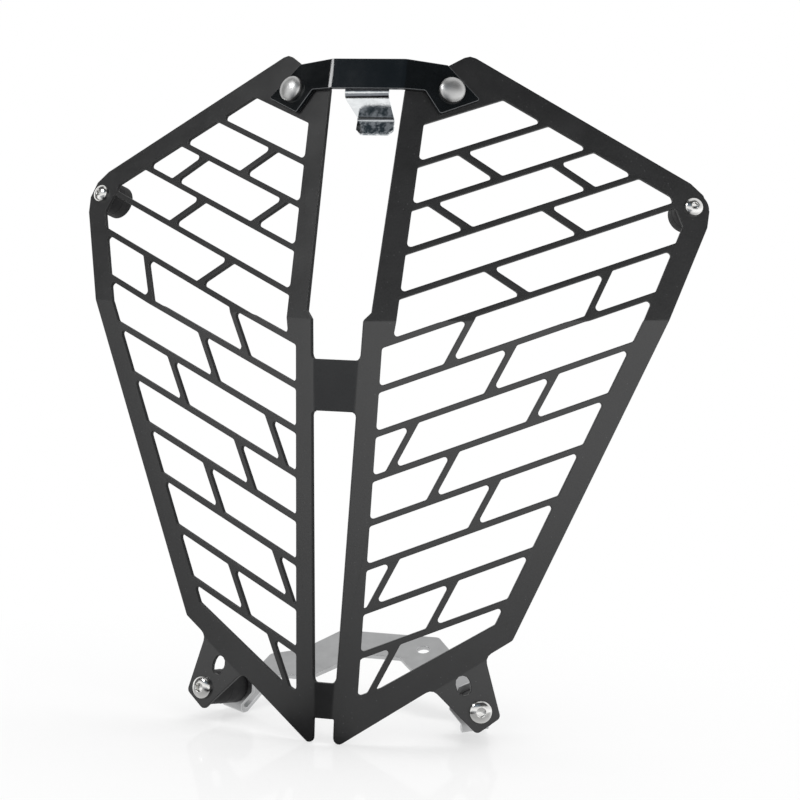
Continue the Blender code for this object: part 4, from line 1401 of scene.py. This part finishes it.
@dataclass
class Fixings:
    """Bolts, screws, nuts, washers and rubber parts of one side.

    Attributes:
        side: which side.
        dome_head: diameter and height of the dome bolt's head.
        foot_head: the same of the foot screw.
        corner_head: the same of the corner screw.
        large_shank: diameter of the shanks of the dome bolt and the foot screw.
        small_shank: diameter of the corner screw's shank.
        large_pitch: pitch of the large threads.
        small_pitch: pitch of the small thread.
        dome_thread: length of the dome bolt's thread.
        foot_thread: length of the foot screw's thread.
        corner_thread: length of the corner screw's thread.
        large_bore: diameter of the holes that the large shanks go through.
        foot_socket: socket of the foot screw.
        corner_socket: socket of the corner screw.
        nut_width: width of the nuts across their flats.
        washer: diameter of the washers.
        washer_edge: radius of their edges.
        spacer: diameter of the foot's rubber spacer.
        spacer_edge: radius of its edges.
        buffer: diameter of the corner's rubber buffer.
        pocket: diameter and depth of the pocket in it.
        insert: outer and inner diameter of the threaded insert.
        insert_edge: radius of its edges.
    """

    side: Side
    dome_head: Span = (13.2 * MM, 3.8 * MM)
    foot_head: Span = (11.4 * MM, 3.3 * MM)
    corner_head: Span = (9.4 * MM, 2.8 * MM)
    large_shank: float = 6.0 * MM
    small_shank: float = 5.0 * MM
    large_pitch: float = 1.0 * MM
    small_pitch: float = 0.8 * MM
    dome_thread: float = 12.0 * MM
    foot_thread: float = 14.0 * MM
    corner_thread: float = 9.0 * MM
    large_bore: float = 6.6 * MM
    foot_socket: HexSocket = HexSocket(4.0 * MM)
    corner_socket: HexSocket = HexSocket(3.0 * MM)
    nut_width: float = 10.0 * MM
    washer: float = 12.0 * MM
    washer_edge: float = 0.22 * MM
    spacer: float = 17.5 * MM
    spacer_edge: float = 0.9 * MM
    buffer: float = 18.0 * MM
    pocket: Span = (8.6 * MM, 8.6 * MM)
    insert: Span = (8.0 * MM, 5.6 * MM)
    insert_edge: float = 0.2 * MM

    def build(self) -> list[bpy.types.Object]:
        """Make the dome bolt's set, the corner's set and the foot's set."""
        return self.dome_set() + self.corner_set() + self.foot_set()

    def named(self, part: str) -> str:
        """Node name of a part on this side."""
        return f"{part}_{self.side.value}"

    def dome_set(self) -> list[bpy.types.Object]:
        """Domed bolt through the top bracket, with its washer and nut.

        Returns:
            The pieces, from the front to the back.
        """
        bolt = Screw(self.named("dome_bolt"), self.dome_head, self.large_shank,
                     self.large_pitch, self.dome_thread, finish=DOME_STEEL)
        return [bolt.build(), *self.washer_and_nut("dome")]

    def corner_set(self) -> list[bpy.types.Object]:
        """Small screw at the outer corner and the rubber buffer with its brass insert.

        Returns:
            The pieces, from the front to the back.
        """
        screw = Screw(self.named("corner_screw"), self.corner_head, self.small_shank,
                      self.small_pitch, self.corner_thread, self.corner_socket)
        buffer = Buffer(self.named("corner_buffer"), self.buffer, self.pocket)
        insert = Ring(self.named("corner_insert"), *self.insert, self.insert_edge, BRASS,
                      take_up=0.0)
        return [screw.build(), buffer.build(), insert.build()]

    def foot_set(self) -> list[bpy.types.Object]:
        """Screw through the foot, spacer and bracket ear, with its washer and nut.

        Returns:
            The pieces, from the front to the back.
        """
        screw = Screw(self.named("foot_screw"), self.foot_head, self.large_shank,
                      self.large_pitch, self.foot_thread, self.foot_socket)
        spacer = Ring(self.named("foot_spacer"), self.spacer, self.large_bore, self.spacer_edge,
                      RUBBER, both=True, seam=Seam())
        return [screw.build(), spacer.build(), *self.washer_and_nut("foot")]

    def washer_and_nut(self, place: str) -> list[bpy.types.Object]:
        """Washer and nut on the back end of a large screw.

        Args:
            place: "dome" or "foot".

        Returns:
            The two pieces.
        """
        washer = Ring(self.named(f"{place}_washer"), self.washer, self.large_bore,
                      self.washer_edge, ZINC_TURNED)
        nut = Nut(self.named(f"{place}_nut"), self.nut_width, self.large_bore)
        return [washer.build(), nut.build()]


# Studio

@dataclass(frozen=True)
class Lamp:
    """Soft box set round the guard.

    Attributes:
        name: name of the lamp.
        azimuth: degrees from the front, positive to the guard's right.
        elevation: degrees above the horizon.
        distance: metres from the guard's middle.
        size: width and height of the box.
        power: watts.
        mirrored: whether it shows in glossy surfaces instead of lighting the scene.
    """

    name: str
    azimuth: float
    elevation: float
    distance: float
    size: Span
    power: float
    mirrored: bool = False

    def build(self, target: Vector) -> bpy.types.Object:
        """Place the box so that it faces the target.

        Args:
            target: the point that it lights.

        Returns:
            The lamp.
        """
        turn, lift = math.radians(self.azimuth), math.radians(self.elevation)
        toward = Vector((math.sin(turn) * math.cos(lift), -math.cos(turn) * math.cos(lift),
                         math.sin(lift)))
        data = bpy.data.lights.new(self.name, "AREA")
        data.shape = "RECTANGLE"
        data.size, data.size_y = self.size
        data.energy = self.power
        lamp = put_in_scene(self.name, data)
        lamp.location = target + toward * self.distance
        lamp.rotation_mode = "QUATERNION"
        lamp.rotation_quaternion = (-toward).to_track_quat("-Z", "Y")
        lamp.visible_camera = False
        lamp.visible_glossy = self.mirrored
        lamp.visible_diffuse = not self.mirrored
        return lamp


@dataclass(frozen=True)
class Card:
    """Upright card round the guard, known by its level bearing alone.

    Attributes:
        middle: bearing of its middle in degrees, positive to the guard's right.
        whole: half width that it covers whole.
        end: half width where it ends.
    """

    middle: float
    whole: float
    end: float

    def share(self, nodes: Wiring, place: Socket) -> Socket:
        """Share of the card in a direction or at a place.

        Args:
            nodes: the node tree to add to.
            place: the direction or place.

        Returns:
            1 on the card, 0 beside it.
        """
        bearing, whole, end = map(math.radians, (self.middle, self.whole, self.end))
        level = nodes.vector("NORMALIZE", nodes.vector("MULTIPLY", place, (1.0, 1.0, 0.0)))
        facing = nodes.vector("DOT_PRODUCT", level, (math.sin(bearing), -math.cos(bearing), 0.0))
        return nodes.ramp(facing, (math.cos(end), math.cos(whole)))


@dataclass
class Studio:
    """White floor and surroundings, with dark cards that shape the black surfaces.

    Attributes:
        middle: point that the lamps face.
        lamps: the soft boxes.
        fill: brightness of the surroundings as plain light.
        horizon: brightness of the surroundings in reflections, at the horizon and above it.
        horizon_top: sines of the elevations where those two lie.
        lean: direction that the upper edge of the bright surroundings is square to.
        dusk: heights along it between which the surroundings turn dark.
        forward: Y of the directions between which the dark part ends behind the guard.
        night: brightness of the dark part.
        overhead: sines of the elevations between which the room is white again.
        front_card: the card ahead.
        left_card: the card on the left.
        left_shade: what the card on the left leaves of the light.
        floor_painted_dark: bearing of a dark patch painted into the floor's glow in reflections,
            ahead of the guard below the front card.
        floor_painted_dark_end: distances between which that painted dark patch comes up.
        floor_painted_dark_end: distances between which the card on the floor comes up.
        sky_card: colour of the dark part above the front card.
        sky_top: sines of the elevations between which that colour ends.
        low_card: colour of the front card.
        low_top: sines of the elevations between which the front card ends.
        floor_radius: radius of the floor.
        floor_grid: rings and spokes of its mesh.
        floor_fade: distances where the floor turns into plain white.
        floor_white: shade of the floor.
        floor_lift: share of plain white in the floor near the guard.
        floor_roughness: roughness of the board.
        floor_gloss: share of the floor that mirrors.
        gloss_roughness: roughness of that share.
        floor_glow: brightness of the floor in reflections, at the guard and at its far end.
        glow_reach: distance of that far end.
        behind: Y of the places between which the floor behind the guard turns bright.
        behind_glow: brightness of the floor there in reflections.
    """

    middle: Vector = field(default_factory=lambda: Vector((0.0, 0.0, 0.17)))
    lamps: tuple[Lamp, ...] = (
        Lamp("bend_box", -45.6, 40.6, 1.73, (0.58, 0.26), 6.6, mirrored=True),
        Lamp("left_box", -75.0, 35.0, 1.7, (0.9, 0.9), 5.0),
        Lamp("right_box", 62.0, 30.0, 1.8, (0.9, 0.9), 6.0),
        Lamp("top_box", 160.0, 66.0, 1.7, (1.2, 0.9), 12.0),
    )
    fill: float = 0.62
    horizon: Span = (1.35, 0.95)
    horizon_top: Span = (0.0, 0.45)
    lean: Triple = (-0.03, 0.0, 1.0)
    dusk: Span = (0.42, 0.52)
    forward: Span = (-0.22, 0.05)
    night: float = 0.05
    overhead: Span = (0.89, 0.97)
    front_card: Card = Card(-13.9, 24.0, 40.0)
    left_card: Card = Card(-86.0, 9.0, 19.0)
    left_shade: float = 0.10
    floor_painted_dark: Card = Card(-12.0, 18.0, 34.0)
    floor_painted_dark_end: Span = (0.26, 0.60)
    sky_card: Colour = (0.135, 0.18, 0.225)
    sky_top: Span = (0.67, 0.75)
    low_card: Colour = (0.30, 0.31, 0.33)
    low_top: Span = (0.03, 0.16)
    floor_radius: float = 1.7
    floor_grid: tuple[int, int] = (8, 64)
    floor_fade: Span = (0.08, 0.36)
    floor_white: float = 0.90
    floor_lift: float = 0.60
    floor_roughness: float = 0.9
    floor_gloss: float = 0.13
    gloss_roughness: float = 0.07
    floor_glow: Span = (0.40, 1.15)
    glow_reach: float = 1.1
    behind: Span = (-0.07, 0.01)
    behind_glow: float = 1.1

    def build(self) -> None:
        """Make the world, the lamps and the floor."""
        self.build_world()
        for lamp in self.lamps:
            lamp.build(self.middle)
        self.build_floor()

    def build_world(self) -> None:
        """Plain white for the camera, plain light for the scene and a room for reflections."""
        world = bpy.data.worlds.new("studio")
        world.use_nodes = True
        bpy.context.scene.world = world
        nodes = Wiring(world.node_tree)
        direction = nodes.node("ShaderNodeTexCoord", {}).outputs["Generated"]
        rays = nodes.node("ShaderNodeLightPath", {}).outputs
        lit = nodes.blend(rays["Is Glossy Ray"], (self.fill,) * 3, self.room(nodes, direction))
        seen = nodes.maths("MAXIMUM", rays["Is Camera Ray"], rays["Is Transmission Ray"])
        nodes.feed(nodes.tree.nodes["Background"],
                   {"Color": nodes.blend(seen, lit, WHITE), "Strength": 1.0})

    def room(self, nodes: Wiring, direction: Socket) -> Socket:
        """Bright horizon, a dark part above it ahead and the two cards.

        Args:
            nodes: the world's node tree.
            direction: where a ray goes.

        Returns:
            The room's colour in that direction.
        """
        height = nodes.along(direction, "Z")
        ahead = nodes.ramp(nodes.along(direction, "Y"), self.forward, DOWN)
        below = nodes.ramp(height, self.overhead, DOWN)
        dark = nodes.ramp(nodes.vector("DOT_PRODUCT", direction, self.lean), self.dusk)
        dark = nodes.maths("MULTIPLY", nodes.maths("MULTIPLY", dark, below), ahead)
        front = self.front_card.share(nodes, direction)
        tinted = nodes.maths("MULTIPLY", front, nodes.ramp(height, self.sky_top, DOWN))
        low = nodes.maths("MULTIPLY", front, nodes.ramp(height, self.low_top, DOWN))
        room = nodes.blend(dark, nodes.ramp(height, self.horizon_top, self.horizon),
                           nodes.blend(tinted, (self.night,) * 3, self.sky_card))
        room = self.behind_left_card(nodes, direction, room)
        return nodes.blend(low, room, self.low_card)

    def behind_left_card(self, nodes: Wiring, place: Socket, colour: Socket) -> Socket:
        """What the card on the left leaves of a colour.

        Args:
            nodes: the node tree to add to.
            place: the direction or place.
            colour: the colour without the card.

        Returns:
            The colour with the card.
        """
        shaded = nodes.vector("MULTIPLY", colour, (self.left_shade,) * 3)
        return nodes.blend(self.left_card.share(nodes, place), colour, shaded)

    def build_floor(self) -> bpy.types.Object:
        """Flat disc: point at ring r and spoke s lies at radius R r / rings.

        Returns:
            The floor.
        """
        rings, spokes = self.floor_grid
        radius = self.floor_radius * np.arange(1, rings + 1)[:, None] / rings
        angle = angles_round(spokes)
        points = np.stack((radius * np.cos(angle), radius * np.sin(angle),
                           np.zeros((rings, spokes))), axis=-1).reshape(-1, 3)
        here = np.arange(rings * spokes).reshape(rings, spokes)
        quads = grid_quads(here)[:, ::-1]
        fan = np.stack((np.full(spokes, len(points)), here[0], np.roll(here[0], -1)), axis=-1)
        mesh = bpy.data.meshes.new("floor")
        mesh.from_pydata(points.tolist() + [(0.0, 0.0, 0.0)], [], quads.tolist() + fan.tolist())
        mesh.materials.append(self.floor_material())
        return put_in_scene("floor", mesh)

    def floor_material(self) -> bpy.types.Material:
        """White board with a faint gloss, which turns into plain white far from the guard.

        In reflections the floor shows a painted glow instead of its lit shade.

        Returns:
            The material.
        """
        shader = Shader("white_floor")
        shader.feed(shader.surface, {"Base Color": (self.floor_white,) * 3,
                                     "Roughness": self.floor_roughness,
                                     "Specular IOR Level": 0.0})
        gloss = shader.node("ShaderNodeBsdfGlossy", {"Roughness": self.gloss_roughness})
        board = shader.layer(self.floor_gloss, shader.surface.outputs[0], gloss.outputs[0])
        distance = shader.vector("LENGTH", shader.place)
        far = shader.spread(distance, self.floor_fade, (self.floor_lift, 1.0))
        rays = shader.node("ShaderNodeLightPath", {}).outputs
        glossy = rays["Is Glossy Ray"]
        shown = shader.blend(glossy, WHITE, self.glow(shader, distance))
        plain = shader.node("ShaderNodeEmission", {"Color": shown, "Strength": 1.0})
        seen = shader.maths("MAXIMUM", shader.maths("MULTIPLY", rays["Is Camera Ray"], far),
                            glossy)
        shader.feed(shader.tree.nodes["Material Output"],
                    {"Surface": shader.layer(seen, board, plain.outputs[0])})
        return shader.material

    def glow(self, shader: Shader, distance: Socket) -> Socket:
        """Painted glow that the floor shows in reflections instead of its lit shade.

        It is darker near the guard and brighter behind it, with painted dark patches under the card
        on the left and ahead of the guard.

        Args:
            shader: the floor's node tree.
            distance: distance from the floor's middle.

        Returns:
            Its colour.
        """
        glow = shader.spread(distance, (0.0, self.glow_reach), self.floor_glow)
        glow = self.behind_left_card(shader, shader.place, glow)
        # Painted dark patch ahead of the guard in the floor's reflected glow.
        low = shader.blend(shader.ramp(distance, self.floor_painted_dark_end), BLACK, self.low_card)
        glow = shader.blend(self.floor_painted_dark.share(shader, shader.place), glow, low)
        behind = shader.ramp(shader.along(shader.place, "Y"), self.behind)
        return shader.blend(behind, glow, (self.behind_glow,) * 3)


@dataclass(frozen=True)
class View:
    """Camera at the photograph's angle.

    Attributes:
        place: position of the lens.
        direction: where it looks.
        upward: which way is up in the picture.
        lens: focal length in millimetres on a sensor of that width.
        sensor: width of the sensor in millimetres.
        nearest: distance from which on it sees.
    """

    place: Triple = (0.258460, -0.959833, 0.214630)
    direction: Triple = (-0.244042, 0.968514, -0.049230)
    upward: Triple = (-0.047201, 0.038842, 0.998130)
    lens: float = 87.176
    sensor: float = 36.0
    nearest: float = 0.05

    def build(self) -> bpy.types.Object:
        """Make the camera and give it to the scene.

        Returns:
            The camera.
        """
        data = bpy.data.cameras.new("camera")
        data.lens = self.lens
        data.sensor_width = self.sensor
        data.clip_start = self.nearest
        back = -Vector(self.direction).normalized()
        right = Vector(self.upward).cross(back).normalized()
        turn = Matrix((right, back.cross(right), back)).transposed().to_4x4()
        camera = put_in_scene("camera", data)
        camera.matrix_world = Matrix.Translation(self.place) @ turn
        bpy.context.scene.camera = camera
        return camera


def main() -> None:
    """Build the guard, its studio and the camera."""
    logging.basicConfig(level=logging.INFO, format="%(name)s: %(message)s")
    bpy.context.scene.view_settings.view_transform = "Standard"
    View().build()
    assemblies = [Grille(), TopBracket(), LowerBracket(), Fixings(Side.RIGHT),
                  Fixings(Side.LEFT)]
    for assembly in assemblies:
        assembly.build()
    Studio().build()


if __name__ == "__main__":
    main()
